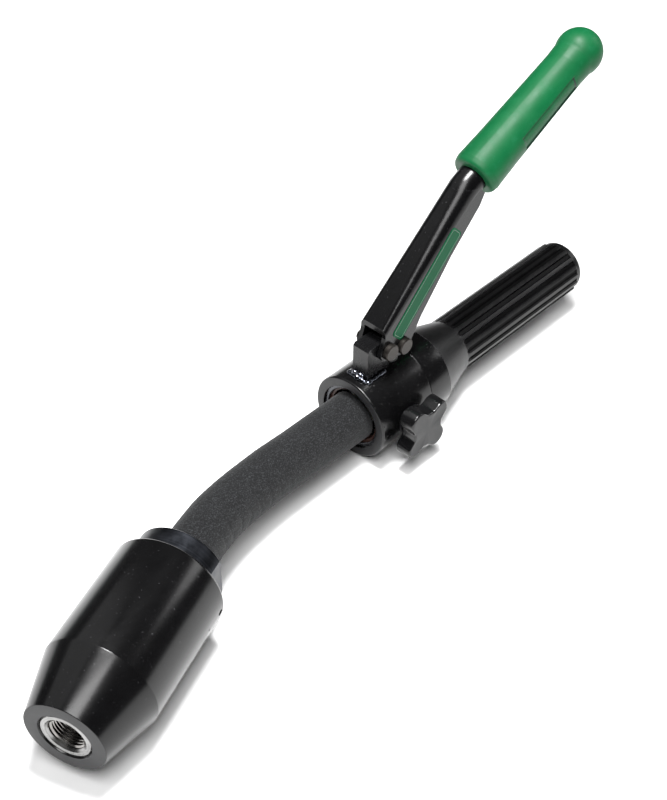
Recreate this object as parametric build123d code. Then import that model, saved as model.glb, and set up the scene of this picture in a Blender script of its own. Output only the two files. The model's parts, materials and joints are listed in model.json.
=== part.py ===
from build123d import *
import os
from math import atan2, cos, degrees, hypot, pi, radians, sin, tan

# Hand pumped hydraulic knockout punch driver: a pump with a fluted handle, a foam covered
# pressure hose, and a pulling ram whose rod takes a draw stud.
#
# Working frame: X runs along the pump's axis from the mouth of the collar (x = 0) to the end
# of the handle, Z is up on the lever's side, and the release knob is on the -Y side. Files are
# written in the row frame, which has its origin where the thread of the ram's rod begins.

# ---------------------------------------------------------------- driving dimensions (mm)
COLLAR_R = 25.4           # collar and rear ring, 2 in outside diameter
SLEEVE_END = 41.3         # seam between the sleeve and the rear ring
RING_END = 57.8           # rear face of the rear ring
CONE_END = 83.0           # end of the handle's cone, start of its flutes
HANDLE_R = 17.0           # over the ridges of the handle
HANDLE_END = 194.0        # end of the handle
MOUTH_R = 19.5            # open mouth of the collar
MOUTH_DEPTH = 14.5        # depth of the mouth, to the pump block's front face
BLOCK_BORE_R = 21.0       # bore of the sleeve and ring behind the mouth
SEAM = 0.5                # chamfer of both edges at the seam

RAM_R = 30.2              # ram cylinder
RAM_BORE_R = 25.0
RAM_SHOULDER = 67.3       # from the ram's rear edge to the start of its nose cone
RAM_LENGTH = 98.5         # from the ram's rear edge to its nose face
NOSE_R = 21.5
ROD_R = 13.45
ROD_RECESS = 0.7          # rod face below the nose face at rest
THREAD_R = 9.525          # 3/4-16 draw stud thread, nominal
THREAD_MOUTH_R = 10.77
THREAD_LENGTH = 27.0
STROKE = 22.0             # ram travel
CAP_R = 24.4
CAP_LENGTH = 13.6         # part of the cap behind the ram's rear edge
CAP_FLATS = 43.0          # across the cap's two wrench flats
CAP_SCREW_X = 4.8         # small screw that locks the cap
CAP_SCREW_ANGLE = -6.5    # below the horizontal on the near side
PORT_X = 10.9             # oil port to the ram's front chamber
GALLERY_R = 27.8          # distance of the oil gallery from the ram's axis
PISTON_FACE = 66.0        # front face of the piston at rest
PISTON_BACK = 52.0
PISTON_SEAL = (57.0, 61.0)
ROD_SEAL = (77.0, 82.0)   # groove of the rod's seal
WIPER = (86.5, 90.0)      # groove of the rod's wiper
VENT_X = 16.5
VENT_R = 0.6
FLAT_LENGTH = 10.6        # wrench flats, from the cap's rear face
CAP_RECESS_R = 10.6       # recess in the cap for the hose fitting

RAM_YAW = 20.1            # turn of the ram away from the pump's axis, about Z
RAM_REAR = (-151.0, -20.5, RAM_R - COLLAR_R)   # centre of the ram's rear edge

HOSE_R = 6.7
FOAM_R = 14.55
FOAM_GAP = 0.3            # between the foam and what it covers
HOSE_BORE_R = 3.2
FERRULE_R = 9.9
HOSE_ROUTE = [            # corner points of the hose's centre line, pump to ram
    (11.0, 0.0, 0.0),
    (-30.0, 0.0, 0.0),
    (-62.0, 0.0, 1.3),
    (-92.0, -2.6, 2.9),
]
HOSE_ENTRY_RUN = 36.0     # last straight corner to the ram's rear edge

LEVER_ANGLE = 42.0        # channel above the pump's axis
GRIP_ANGLE = 24.6         # grip above the pump's axis
LEVER_BEND = (88.0, 0.0, 109.3)
GRIP_MOUTH = (95.4, 0.0, 112.7)
LEVER_HALF_WIDTH = 8.95
LEVER_WALL = 2.5
LEVER_TUBE_R = 8.5
LEVER_BEND_R = 20.0
LEVER_TUBE_START = -4.0   # the tube starts here, just before the bend
LEVER_CLOSE = 4.0         # the channel's walls end here, at the grip's lip
LEVER_ROOT = -88.0        # the channel's back ends here, above the pivot
LEVER_TOP = 7.3           # the channel's back above its centre line, at the root
LEVER_CORNER = 3.0
TUBE_BORE_R = 6.3
TUBE_IN_GRIP = 78.0
EAR_R = 6.4               # round ends of the lever's ears
GRIP_BALL_R = 13.6
GRIP_BALL_CENTRE = 96.2   # from the grip's mouth
LABEL_WIDTH = 10.6
LABEL_THICKNESS = 0.3
PIVOT = (20.9, 0.0, 40.7)         # lever pivot pin
CRANK = (32.5, 0.0, 38.2)         # pin that works the pump plunger
PIVOT_PIN_R = 3.0
CRANK_PIN_R = 2.5
PIN_HEAD_R = 4.9
PIN_HEAD = 3.1
RING_GAP = 0.5            # from the lever's far side to a pin's retaining ring
RUNNING = 0.05            # radial clearance of a running fit

BRACKET_FRONT = 8.0
BRACKET_TOP = 45.9
BRACKET_REAR = 25.5
BRACKET_HALF_WIDTH = 5.5
WELD_SIDE = 2.2           # leg of the bracket's side fillets
WELD_FRONT = 3.3          # leg of the heavier bead across its front
SNAP_GROOVE = (1.5, 3.2)  # groove of the mouth's snap ring
SEAL_RING = (3.5, 8.5)

PLUNGER_X = 31.5
PLUNGER_R = 5.0
PLUNGER_BOTTOM = 1.5
CHAMBER_BOTTOM = -8.0
GLAND_R = 7.0
GLAND_SEAT = 13.5
OUTLET_SEAT = -11.5
CROSS_PASSAGE_Z = -14.0
SUCTION_Z = -5.0
SUCTION_SEAT_X = 62.0
PASSAGE_R = 1.2
BLOCK_NOSE = 70.0         # end of the block's spigot, which the bladder fits over
SPIGOT_R = 10.4

VALVE_X = 22.6            # release valve and relief valve, one each side
VALVE_SEAT = 8.0          # distance of both valve seats from the pump's axis
RELEASE_STEM_R = 3.2
BOSS_R = 6.9
BOSS_FACE = 28.0
BOSS_FLANGE_R = 9.0
SET_SCREW_R = 1.5         # screw that holds the knob on its stem
SET_SCREW_IN = 6.0        # its distance behind the knob's face
KNOB_FACE = 38.5          # distance of the knob's face from the pump's axis
KNOB_THICKNESS = 9.8
KNOB_TIP_R = 18.6
KNOB_VALLEY_R = 12.1
KNOB_LOBE_R = 6.0
KNOB_VALLEY_FILLET = 2.5
KNOB_EDGE = 0.8
KNOB_PHASE = 38.0

FLUTES = 18
FLUTE_WIDTH = 3.1
FLUTE_DEPTH = 1.7
FLUTE_END = 189.6         # the flutes run out over a small step to the handle's plain end
HANDLE_END_R = 15.9       # plain end behind the flutes
HANDLE_BORE_R = 13.2
HANDLE_FLOOR = 5.0        # thickness of the handle's closed end
BLADDER_R = 12.1          # rubber oil reservoir inside the handle
FILL_HOLE_R = 5.0

# ---------------------------------------------------------------- frames
RAM_FRAME = Location(RAM_REAR, (0, 0, 180 + RAM_YAW))           # local X points to the nose
LEVER_FRAME = Location(LEVER_BEND, (0, -LEVER_ANGLE, 0))        # local X points to the grip
TUBE_FRAME = Location(LEVER_BEND, (0, -GRIP_ANGLE, 0))
GRIP_FRAME = Location(GRIP_MOUTH, (0, -GRIP_ANGLE, 0))
THREAD_START = RAM_LENGTH - ROD_RECESS - (THREAD_MOUTH_R - THREAD_R)
NOSE_DIRECTION = Vector(-cos(radians(RAM_YAW)), -sin(radians(RAM_YAW)), 0)
ORIGIN = Vector(*RAM_REAR) + NOSE_DIRECTION * THREAD_START

os.makedirs("parts", exist_ok=True)


def save(node, solids):
    """Writes one sub-part, moved from the working frame to the row frame."""
    shape = solids if not isinstance(solids, list) else Compound(children=solids)
    export_step(Pos(*(-ORIGIN)) * shape, f"parts/{node}.step")


def turned(*profile):
    """A solid of revolution about the local X axis from (x, radius) corners."""
    outline = make_face(Polyline(*[(x, r) for x, r in profile], close=True))
    return revolve(outline, Axis.X, 360)


def rod_x(x0, x1, radius):
    return turned((x0, 0), (x1, 0), (x1, radius), (x0, radius))


def ring_x(x0, x1, outer, inner):
    return turned((x0, inner), (x1, inner), (x1, outer), (x0, outer))


def bar(start, end, radius):
    """A round bar between two points."""
    a = Vector(*start)
    b = Vector(*end)
    plane = Plane(origin=a, z_dir=b - a)
    return extrude(plane * Circle(radius), (b - a).length)


def o_ring(x, ring_r, section_r):
    """An O-ring about the local X axis."""
    return revolve(Pos(x, ring_r) * Circle(section_r), Axis.X, 360)


def coil(x0, x1, mean_r, wire_r, turns):
    """A compression spring along the local X axis, between two planes."""
    length = x1 - x0 - 2 * wire_r
    path = Helix(length / turns, length, mean_r, center=(0, 0, 0), direction=(0, 0, 1))
    start = path @ 0
    section = Plane(origin=start, z_dir=path % 0) * Circle(wire_r)
    spring = sweep(section, path=path, is_frenet=True)
    return Pos(x0 + wire_r, 0, 0) * Rot(0, 90, 0) * spring


def swept_round(path, radius):
    return sweep(Plane(origin=path @ 0, z_dir=path % 0) * Circle(radius), path=path)


def seal_in(groove, outer, inner):
    """A square seal ring in a groove about the local X axis, with a little side play."""
    return ring_x(groove[0] + 0.2, groove[1] - 0.2, outer, inner)


def side_profile(points):
    """A closed outline in the local XZ plane from (x, z) corners."""
    return make_face(Polyline(*[(x, 0, z) for x, z in points], close=True))


def on_arc(centre, radius, angle):
    return (centre[0] + radius * cos(radians(angle)), centre[1] + radius * sin(radians(angle)))


# ---------------------------------------------------------------- pump body
def collar_sleeve():
    """Steel sleeve with the open mouth, the snap ring's groove and three side openings."""
    edge = 1.4
    lip = 0.8
    groove_depth = 1.4
    relief_hole_r = 4.2
    reach = 30
    body = turned(
        (0, MOUTH_R + lip), (0, COLLAR_R - edge), (0.3 * edge, COLLAR_R - 0.3 * edge),
        (edge, COLLAR_R), (SLEEVE_END - SEAM, COLLAR_R), (SLEEVE_END, COLLAR_R - SEAM),
        (SLEEVE_END, BLOCK_BORE_R), (MOUTH_DEPTH, BLOCK_BORE_R), (MOUTH_DEPTH, MOUTH_R),
        (lip, MOUTH_R),
    )
    body -= ring_x(SNAP_GROOVE[0], SNAP_GROOVE[1], MOUTH_R + groove_depth, MOUTH_R - 1)
    body -= bar((PLUNGER_X, 0, 10), (PLUNGER_X, 0, reach), GLAND_R + 0.3)
    body -= bar((VALVE_X, -reach, 0), (VALVE_X, -15, 0), BOSS_R + 0.4)
    return body - bar((VALVE_X, reach, 0), (VALVE_X, 15, 0), relief_hole_r)


def rear_ring():
    """Ring that joins the sleeve, the pump block and the handle."""
    spigot_r = 20.7
    spigot_bore = 17.0
    spigot_length = 4.5
    lip = 0.6
    web = 0.3
    return turned(
        (SLEEVE_END, BLOCK_BORE_R), (SLEEVE_END, COLLAR_R - SEAM), (SLEEVE_END + SEAM, COLLAR_R),
        (RING_END - lip, COLLAR_R), (RING_END, COLLAR_R - lip), (RING_END, spigot_r),
        (RING_END + spigot_length, spigot_r), (RING_END + spigot_length, spigot_bore),
        (RING_END - web, spigot_bore), (RING_END - web, BLOCK_BORE_R),
    )


def pump_block():
    """Steel block with the plunger bore, the ports, the passages and the valve bores."""
    block_r = BLOCK_BORE_R - 0.1
    front = MOUTH_DEPTH + 0.1
    rear = RING_END - 0.5
    outside = block_r + 1
    hose_port_r = 7.0
    hose_port_end = 20.0
    valve_bore_r = 3.6
    valve_thread_start = 12.5
    small_bore_r = 3.0            # outlet and relief valve bores
    suction_bore_r = 4.0
    suction_bore_start = 46.0
    tank_offset = 8.6             # two return passages to the tank, one for each valve
    block = turned(
        (front, 0), (front, block_r), (rear, block_r), (rear, SPIGOT_R), (BLOCK_NOSE, SPIGOT_R),
        (BLOCK_NOSE, 0),
    )
    hose_port = rod_x(MOUTH_DEPTH, hose_port_end, hose_port_r)
    front_passage = rod_x(hose_port_end - 1, VALVE_X + 1.5, 1.5)
    cuts = [hose_port, front_passage]
    for start, end, radius in (
        (CHAMBER_BOTTOM, 30, PLUNGER_R + RUNNING),
        (GLAND_SEAT, 30, GLAND_R),
        (OUTLET_SEAT, CHAMBER_BOTTOM + 1, 1.5),
        (-25, OUTLET_SEAT, small_bore_r),
    ):
        cuts.append(bar((PLUNGER_X, 0, start), (PLUNGER_X, 0, end), radius))
    for start, end, radius in (
        (-VALVE_SEAT, 0, PASSAGE_R),
        (-outside, -VALVE_SEAT, valve_bore_r),
        (-outside, -valve_thread_start, hose_port_r),
        (0, VALVE_SEAT, 1.0),
        (VALVE_SEAT, outside, small_bore_r),
    ):
        cuts.append(bar((VALVE_X, start, 0), (VALVE_X, end, 0), radius))
    cuts.append(bar((VALVE_X, 0, CROSS_PASSAGE_Z), (PLUNGER_X, 0, CROSS_PASSAGE_Z), PASSAGE_R))
    cuts.append(bar((VALVE_X, 0, CROSS_PASSAGE_Z), (VALVE_X, 0, 0), PASSAGE_R))
    cuts.append(Pos(0, 0, SUCTION_Z - 1.5) * rod_x(PLUNGER_X, 50, 1.0))
    cuts.append(Pos(0, 0, SUCTION_Z) * rod_x(suction_bore_start, BLOCK_NOSE + 1, suction_bore_r))
    for y in (-tank_offset, tank_offset):
        cuts.append(bar((VALVE_X, y, 0), (BLOCK_NOSE + 1, y, 0), 1.0))
    for cut in cuts:
        block -= cut
    return block


def bracket():
    """Block welded on the sleeve, bored for the pivot pin."""
    boss_r = BRACKET_REAR - PIVOT[0]
    chamfer_size = 1.3
    foot = 15
    half = BRACKET_HALF_WIDTH
    outline = side_profile([
        (BRACKET_FRONT, foot), (BRACKET_FRONT, BRACKET_TOP - chamfer_size),
        (BRACKET_FRONT + chamfer_size, BRACKET_TOP), (PIVOT[0], BRACKET_TOP),
        (PIVOT[0], PIVOT[2]), (BRACKET_REAR, PIVOT[2]), (BRACKET_REAR, foot),
    ])
    block = extrude(outline, half, both=True)
    block += bar((PIVOT[0], -half, PIVOT[2]), (PIVOT[0], half, PIVOT[2]), boss_r)
    block -= rod_x(0, SLEEVE_END, COLLAR_R)
    pin_bore_r = PIVOT_PIN_R + RUNNING
    return block - bar((PIVOT[0], -2 * half, PIVOT[2]), (PIVOT[0], 2 * half, PIVOT[2]), pin_bore_r)


def bracket_weld():
    """Weld fillets along the foot of the bracket: two sides and a heavier front bead."""
    half = BRACKET_HALF_WIDTH
    side_z = (COLLAR_R**2 - half**2) ** 0.5
    front_x = BRACKET_FRONT - 0.5
    front_z = COLLAR_R - 0.6
    front_reach = half + 0.8
    bead = bar((front_x, -front_reach, front_z), (front_x, front_reach, front_z), WELD_FRONT)
    for y in (-half, half):
        bead += bar((BRACKET_FRONT + 0.5, y, side_z), (BRACKET_REAR - 3.5, y, side_z), WELD_SIDE)
    block = Pos(BRACKET_FRONT, 0, 0) * Box(
        BRACKET_REAR - BRACKET_FRONT, 2 * half, 4 * COLLAR_R,
        align=(Align.MIN, Align.CENTER, Align.CENTER),
    )
    return bead - rod_x(-5, SLEEVE_END, COLLAR_R) - block


def mouth_snap_ring():
    """Internal snap ring just inside the mouth, open at the bottom."""
    start = SNAP_GROOVE[0] + 0.1
    end = SNAP_GROOVE[1] - 0.1
    ring = ring_x(start, end, MOUTH_R + 1.2, MOUTH_R - 1.9)
    return ring - Pos(start + 1, 0, -MOUTH_R) * Box(4, 9, 8)


def plunger_gland():
    """Threaded gland that guides the plunger and holds its seals."""
    bottom = 15.4
    top = 24.0
    gland = bar((PLUNGER_X, 0, bottom), (PLUNGER_X, 0, top), GLAND_R - RUNNING)
    gland -= bar((PLUNGER_X, 0, bottom - 1), (PLUNGER_X, 0, top + 1), PLUNGER_R + RUNNING)
    for side in (-1, 1):
        x = PLUNGER_X + 6.0 * side
        gland -= bar((x, 0, top - 1.5), (x, 0, top + 1), 0.5)
    return gland


def upright(x_axis_shape, x, z):
    """Turns a shape made about the X axis so that it stands on Z at x, starting at z."""
    return Pos(x, 0, z) * Rot(0, -90, 0) * x_axis_shape


def sideways(x_axis_shape, side):
    """Turns a shape made about the X axis so that it points to side * Y at the valve station."""
    return Pos(VALVE_X, 0, 0) * Rot(0, 0, side * 90) * x_axis_shape


def release_boss():
    """Threaded boss and gland of the release valve, with a flange on the sleeve."""
    inner_end = 12.6
    seal_r = 4.2
    seal_end = 16.0
    edge = 0.7
    stem_bore = RELEASE_STEM_R + RUNNING
    boss = turned(
        (inner_end, seal_r), (inner_end, BOSS_R), (BOSS_FACE - edge, BOSS_R),
        (BOSS_FACE, BOSS_R - edge), (BOSS_FACE, stem_bore), (seal_end, stem_bore),
        (seal_end, seal_r),
    )
    flange = sideways(ring_x(COLLAR_R - 0.5, COLLAR_R + 1.2, BOSS_FLANGE_R, BOSS_R), -1)
    return sideways(boss, -1) + (flange - rod_x(0, SLEEVE_END, COLLAR_R))


def release_needle():
    """Stem of the release valve: a cone that closes the seat, and the knob's seat outside."""
    neck_r = 2.4
    neck_end = 13.0
    stem_end = KNOB_FACE - 3.0
    stem = turned(
        (VALVE_SEAT - 1.1, 0), (VALVE_SEAT, 1.15), (VALVE_SEAT + 1.6, neck_r),
        (neck_end, neck_r), (neck_end, RELEASE_STEM_R), (stem_end, RELEASE_STEM_R),
        (stem_end, 0),
    )
    return sideways(stem, -1)


def knob_outline():
    """Four rounded lobes about a round hub, as one face."""
    face = Circle(KNOB_VALLEY_R)
    lobe_centre = KNOB_TIP_R - KNOB_LOBE_R
    for index in range(4):
        lobe = Pos(lobe_centre, 0) * Circle(KNOB_LOBE_R)
        lobe += Pos(lobe_centre / 2, 0) * Rectangle(lobe_centre, 2 * KNOB_LOBE_R)
        face += Rot(0, 0, KNOB_PHASE + 90 * index) * lobe
    valleys = face.vertices().filter_by(lambda v: hypot(v.X, v.Y) < KNOB_VALLEY_R + 0.6)
    return fillet(valleys, KNOB_VALLEY_FILLET)


def release_knob():
    """Moulded four lobed knob with a blind bore for the stem."""
    back = -KNOB_FACE + KNOB_THICKNESS
    screw_y = -KNOB_FACE + SET_SCREW_IN
    plane = Plane(origin=(VALVE_X, back, 0), x_dir=(1, 0, 0), z_dir=(0, -1, 0))
    knob = extrude(plane * knob_outline(), KNOB_THICKNESS)
    knob = fillet(knob.faces().sort_by(Axis.Y)[0].edges(), KNOB_EDGE)
    knob -= bar((VALVE_X, -KNOB_FACE + 2.9, 0), (VALVE_X, back + 9, 0), RELEASE_STEM_R + RUNNING)
    return knob - bar((VALVE_X, screw_y, 0), (VALVE_X, screw_y, -20), SET_SCREW_R)


def knob_set_screw():
    """Socket screw that holds the knob on its stem."""
    y = -KNOB_FACE + SET_SCREW_IN
    tip = -RELEASE_STEM_R - 0.2
    head = -9.5
    screw = bar((VALVE_X, y, tip), (VALVE_X, y, head), SET_SCREW_R)
    return screw - bar((VALVE_X, y, head + 1.5), (VALVE_X, y, head - 0.1), SET_SCREW_R / 2)


def handle_shell():
    """Moulded handle: smooth cone, fluted grip and closed end with a hole for the fill plug."""
    start = RING_END + 0.05
    socket_r = 20.8
    socket_end = RING_END + 5
    end_round = 1.4
    step = 0.5
    floor = HANDLE_END - HANDLE_FLOOR
    shell = turned(
        (start, socket_r), (start, COLLAR_R - 1.0), (CONE_END, HANDLE_R),
        (FLUTE_END - step, HANDLE_R), (FLUTE_END, HANDLE_R - step), (FLUTE_END, HANDLE_END_R),
        (HANDLE_END - end_round, HANDLE_END_R),
        (HANDLE_END - 0.3 * end_round, HANDLE_END_R - 0.3 * end_round),
        (HANDLE_END, HANDLE_END_R - end_round), (HANDLE_END, FILL_HOLE_R), (floor, FILL_HOLE_R),
        (floor, HANDLE_BORE_R), (CONE_END, HANDLE_BORE_R), (socket_end + 1, 17.6),
        (socket_end, socket_r),
    )
    groove = Pos(CONE_END, 0, HANDLE_R - FLUTE_DEPTH) * Box(
        FLUTE_END - CONE_END, FLUTE_WIDTH, 4, align=(Align.MIN, Align.CENTER, Align.MIN),
    )
    for index in range(FLUTES):
        shell -= Rot(360 / FLUTES * index, 0, 0) * groove
    return shell


def fill_plug():
    """Slotted plug that closes the filling hole in the end of the handle."""
    head_r = 7.0
    head = 2.2
    edge = 0.6
    shank_r = FILL_HOLE_R - RUNNING
    plug = turned(
        (HANDLE_END - 9, 0), (HANDLE_END - 9, shank_r), (HANDLE_END, shank_r),
        (HANDLE_END, head_r), (HANDLE_END + head - edge, head_r),
        (HANDLE_END + head, head_r - edge), (HANDLE_END + head, 0),
    )
    return plug - Pos(HANDLE_END + head, 0, 0) * Box(2.4, 1.5, 20)


def reservoir_bladder():
    """Rubber oil reservoir: a tube closed at the far end, pushed over the block's spigot."""
    start = 60.5
    end = 177.0
    bore_r = SPIGOT_R + RUNNING
    outer_r = BLADDER_R
    wall = outer_r - bore_r
    return turned(
        (start, bore_r), (start, outer_r), (end - 3, outer_r), (end, outer_r - 3.1), (end, 0),
        (end - wall, 0), (end - wall, bore_r - 2.05), (end - 4, bore_r),
    )


def bladder_clamp():
    """Band with a crimped ear that holds the bladder on the spigot."""
    start = 62.5
    width = 6.0
    band_r = BLADDER_R + 0.8
    band = ring_x(start, start + width, band_r, BLADDER_R + RUNNING)
    ear = Pos(start + width / 2, 0, band_r + 0.7) * Box(4.0, 2.4, 2.6)
    return band + (ear - rod_x(start - 2, start + width + 2, BLADDER_R + 0.4))


def suction_strainer():
    """Perforated strainer cup in front of the suction port."""
    start = BLOCK_NOSE + 0.1
    end = 92.0
    outer_r = 5.2
    inner_r = 4.5
    neck_r = 3.0
    cup = turned(
        (start, neck_r), (start, outer_r), (end, outer_r), (end, 0), (end - 1, 0),
        (end - 1, inner_r), (start + 0.9, inner_r), (start + 0.9, neck_r),
    )
    for row in range(3):
        x = start + 4.9 + 6 * row
        for index in range(4):
            cup -= Rot(90 * index, 0, 0) * bar((x, 0, neck_r), (x, 0, outer_r + 3), 1.3)
    return Pos(0, 0, SUCTION_Z) * cup


def hose_centre_line():
    """The hose's path: straight runs and tangent arcs, ending square in the ram's cap."""
    tail = Vector(*RAM_REAR) - NOSE_DIRECTION * HOSE_ENTRY_RUN
    entry = Vector(*RAM_REAR) + NOSE_DIRECTION * 1.0
    points = [Vector(*p) for p in HOSE_ROUTE] + [tail, entry]
    radii = []
    for before, corner, after in zip(points, points[1:], points[2:]):
        first = corner - before
        second = after - corner
        turn = first.get_angle(second)
        radii.append(0.45 * min(first.length, second.length) / tan(radians(turn / 2)))
    return FilletPolyline(*points, radius=radii), radii


def stretch(path, start, end):
    """The part of a path between two lengths along it."""
    return path.trim(start / path.length, end / path.length)


def hose_ferrule():
    """Crimped steel ferrule with its hexagon and its threaded end, about local X."""
    hexagon_flats = 8.5
    hexagon_width = 5.2
    crimp_length = 13
    crimps = 4
    pitch = 3.0
    body_r = FERRULE_R - 0.6
    bore_r = HOSE_R + RUNNING
    section = Plane.YZ * RegularPolygon(hexagon_flats, 6, major_radius=False)
    ferrule = extrude(section, hexagon_width)
    ferrule += ring_x(-crimp_length, 0, body_r, bore_r)
    for index in range(crimps):
        x = 1 - crimp_length + pitch * index
        ferrule += ring_x(x, x + 1.6, FERRULE_R - 0.1, bore_r)
    ferrule += rod_x(hexagon_width, 10.6, 6.6)
    return ferrule - rod_x(-20, 20, 1.8)


# ---------------------------------------------------------------- ram
def ram_cylinder():
    """Ram cylinder: bore for the piston, nose bore for the rod, seal grooves, oil gallery."""
    edge = 2.4
    nose_edge = 0.5
    thread_r = RAM_BORE_R + 0.6
    thread_end = 7.8
    rod_bore = ROD_R + RUNNING
    open_bore = ROD_R + 0.15
    wiper_r = ROD_R + 2.4
    seal_r = ROD_R + 3.6
    bore_end = 69.0
    body = turned(
        (0, thread_r), (0, RAM_R - edge), (0.15 * edge, RAM_R - 0.3 * edge), (edge, RAM_R),
        (RAM_SHOULDER, RAM_R), (RAM_LENGTH - nose_edge, NOSE_R), (RAM_LENGTH, NOSE_R - nose_edge),
        (RAM_LENGTH, ROD_R + 0.9), (RAM_LENGTH - 0.7, open_bore), (WIPER[1], open_bore),
        (WIPER[1], wiper_r), (WIPER[0], wiper_r), (WIPER[0], rod_bore), (ROD_SEAL[1], rod_bore),
        (ROD_SEAL[1], seal_r), (ROD_SEAL[0], seal_r), (ROD_SEAL[0], rod_bore),
        (bore_end, rod_bore), (bore_end, RAM_BORE_R), (thread_end, RAM_BORE_R),
        (thread_end - 0.6, thread_r),
    )
    front_port = bore_end - 0.9
    inside = 20
    body -= Pos(0, 0, GALLERY_R) * rod_x(PORT_X, front_port + 0.3, PASSAGE_R)
    body -= bar((PORT_X, 0, inside), (PORT_X, 0, GALLERY_R), PASSAGE_R)
    body -= bar((front_port, 0, inside), (front_port, 0, GALLERY_R), 1.0)
    for x, radius in ((CAP_SCREW_X, 1.75), (VENT_X, VENT_R)):
        body -= Rot(CAP_SCREW_ANGLE, 0, 0) * bar((x, inside, 0), (x, RAM_R + 10, 0), radius)
    return body


def ram_rear_cap():
    """Cap screwed into the ram's rear: wrench flats, hose port, O-ring grooves, oil groove."""
    edge = 0.8
    thread_r = RAM_BORE_R + 0.55
    thread_end = 7.0
    neck_r = 23.3
    land_r = RAM_BORE_R - RUNNING
    stop_r = 13.0
    rear = -CAP_LENGTH
    cap = turned(
        (rear, 0), (rear, CAP_R - edge), (rear + edge, CAP_R), (0, CAP_R), (0, thread_r),
        (thread_end, thread_r), (thread_end, neck_r), (9.4, neck_r), (9.4, land_r),
        (10.0, land_r), (10.0, 24.0), (11.8, 24.0), (11.8, land_r), (12.4, land_r),
        (12.4, neck_r), (14.8, neck_r), (14.8, land_r), (17.0, land_r), (17.0, stop_r),
        (15.0, stop_r), (15.0, 0),
    )
    for side, align in ((-1, Align.MAX), (1, Align.MIN)):
        cap -= Pos(rear, side * CAP_FLATS / 2, 0) * Box(
            FLAT_LENGTH, 10, 60, align=(Align.MIN, align, Align.CENTER)
        )
    cap -= rod_x(rear - 1, 2.0, 7.0)
    cap -= rod_x(rear - 1, rear + 8.2, CAP_RECESS_R)
    cap -= rod_x(1.5, PORT_X, 1.5)
    cap -= bar((PORT_X, 0, 0), (PORT_X, 0, RAM_BORE_R), 1.0)
    dimple = bar((CAP_SCREW_X, RAM_BORE_R - 0.1, 0), (CAP_SCREW_X, RAM_R, 0), 1.75)
    return cap - Rot(CAP_SCREW_ANGLE, 0, 0) * dimple


def cap_set_screw():
    """Socket screw through the cylinder's wall into the cap."""
    head = 29.0
    screw = bar((CAP_SCREW_X, RAM_BORE_R, 0), (CAP_SCREW_X, head, 0), 1.7)
    socket = bar((CAP_SCREW_X, head - 1.6, 0), (CAP_SCREW_X, head + 0.5, 0), 0.85)
    return Rot(CAP_SCREW_ANGLE, 0, 0) * (screw - socket)


def ram_piston():
    """Piston and rod in one piece, with the blind thread for the draw stud."""
    face = RAM_LENGTH - ROD_RECESS
    edge = 0.6
    head_r = RAM_BORE_R - RUNNING
    spigot_r = 12.0
    spring_seat_r = 15.0
    groove_r = 22.6
    return turned(
        (PISTON_BACK, 0), (PISTON_BACK, spigot_r), (PISTON_BACK - 1.5, spigot_r),
        (PISTON_BACK - 1.5, spring_seat_r), (PISTON_BACK, spring_seat_r), (PISTON_BACK, head_r),
        (PISTON_SEAL[0], head_r), (PISTON_SEAL[0], groove_r), (PISTON_SEAL[1], groove_r),
        (PISTON_SEAL[1], head_r), (PISTON_FACE, head_r), (PISTON_FACE, ROD_R),
        (face - edge, ROD_R), (face, ROD_R - edge), (face, THREAD_MOUTH_R),
        (THREAD_START, THREAD_R), (THREAD_START - THREAD_LENGTH, THREAD_R),
        (THREAD_START - THREAD_LENGTH, 0),
    )


# ---------------------------------------------------------------- lever
def lever_point(point):
    """The (along, across) place of a working frame point in the lever's frame."""
    dx = point[0] - LEVER_BEND[0]
    dz = point[2] - LEVER_BEND[2]
    c = cos(radians(LEVER_ANGLE))
    s = sin(radians(LEVER_ANGLE))
    return (dx * c + dz * s, -dx * s + dz * c)


def lever_outline():
    """Side outline of the channel in the lever's frame: back edge, lower edge, two ears."""
    pivot = lever_point(PIVOT)
    crank = lever_point(CRANK)
    back = 12.0                   # beyond the channel's own back
    lower_edge = [(LEVER_CLOSE, 0.0), (LEVER_CLOSE, -8.0), (-3.0, -10.3), (-34.0, -11.6),
                  (-52.0, -14.2), (-70.0, -16.6), (-78.0, -18.9)]
    crank_ear = [on_arc(crank, EAR_R, angle) for angle in (-62, -90, -120, -150)]
    pivot_ear = [on_arc(pivot, EAR_R, angle) for angle in (-170, 175, 145)]
    root = [(-91.5, 3.2), (LEVER_ROOT, LEVER_TOP), (LEVER_ROOT + 1, back), (-2.0, back),
            (-1.5, 6.0)]
    return lower_edge + crank_ear + pivot_ear + root


def lever_section(s, half, top, bottom, corner, foot):
    """A rounded rectangle across the lever, with larger corners on its back."""
    plane = Plane(origin=(s, 0, 0), x_dir=(0, 1, 0), z_dir=(1, 0, 0))
    face = Pos(0, (top + bottom) / 2) * Rectangle(2 * half, top - bottom)
    face = fillet(face.vertices().sort_by(Axis.Y)[-2:], corner)
    low = [v for v in face.vertices() if v.Y < bottom + 0.1]
    return plane * fillet(low, foot)


def lever_form(grow):
    """Outer form of the channel: its back turns from square at the pivot to round."""
    half = LEVER_HALF_WIDTH + grow
    top = LEVER_TOP + grow
    root = [lever_section(s, half, top, -40, LEVER_CORNER + grow, 2.0) for s in (-120, LEVER_ROOT)]
    end_r = LEVER_TUBE_R - 0.1 + grow
    end = lever_section(LEVER_CLOSE, end_r, end_r, -40, end_r - 0.1, 2.0)
    return loft(root + [end], ruled=True)


def lever_hollow():
    """Inside of the channel, open below, closed where the channel turns into the tube."""
    half = LEVER_HALF_WIDTH - LEVER_WALL
    top = LEVER_TOP - LEVER_WALL
    deep = -60
    root = [lever_section(s, half, top, deep, 0.6, 0.5) for s in (-125, LEVER_ROOT)]
    end = lever_section(LEVER_TUBE_START - 10, 5.7, 5.6, deep, 4.6, 0.5)
    return loft(root + [end], ruled=True)


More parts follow.
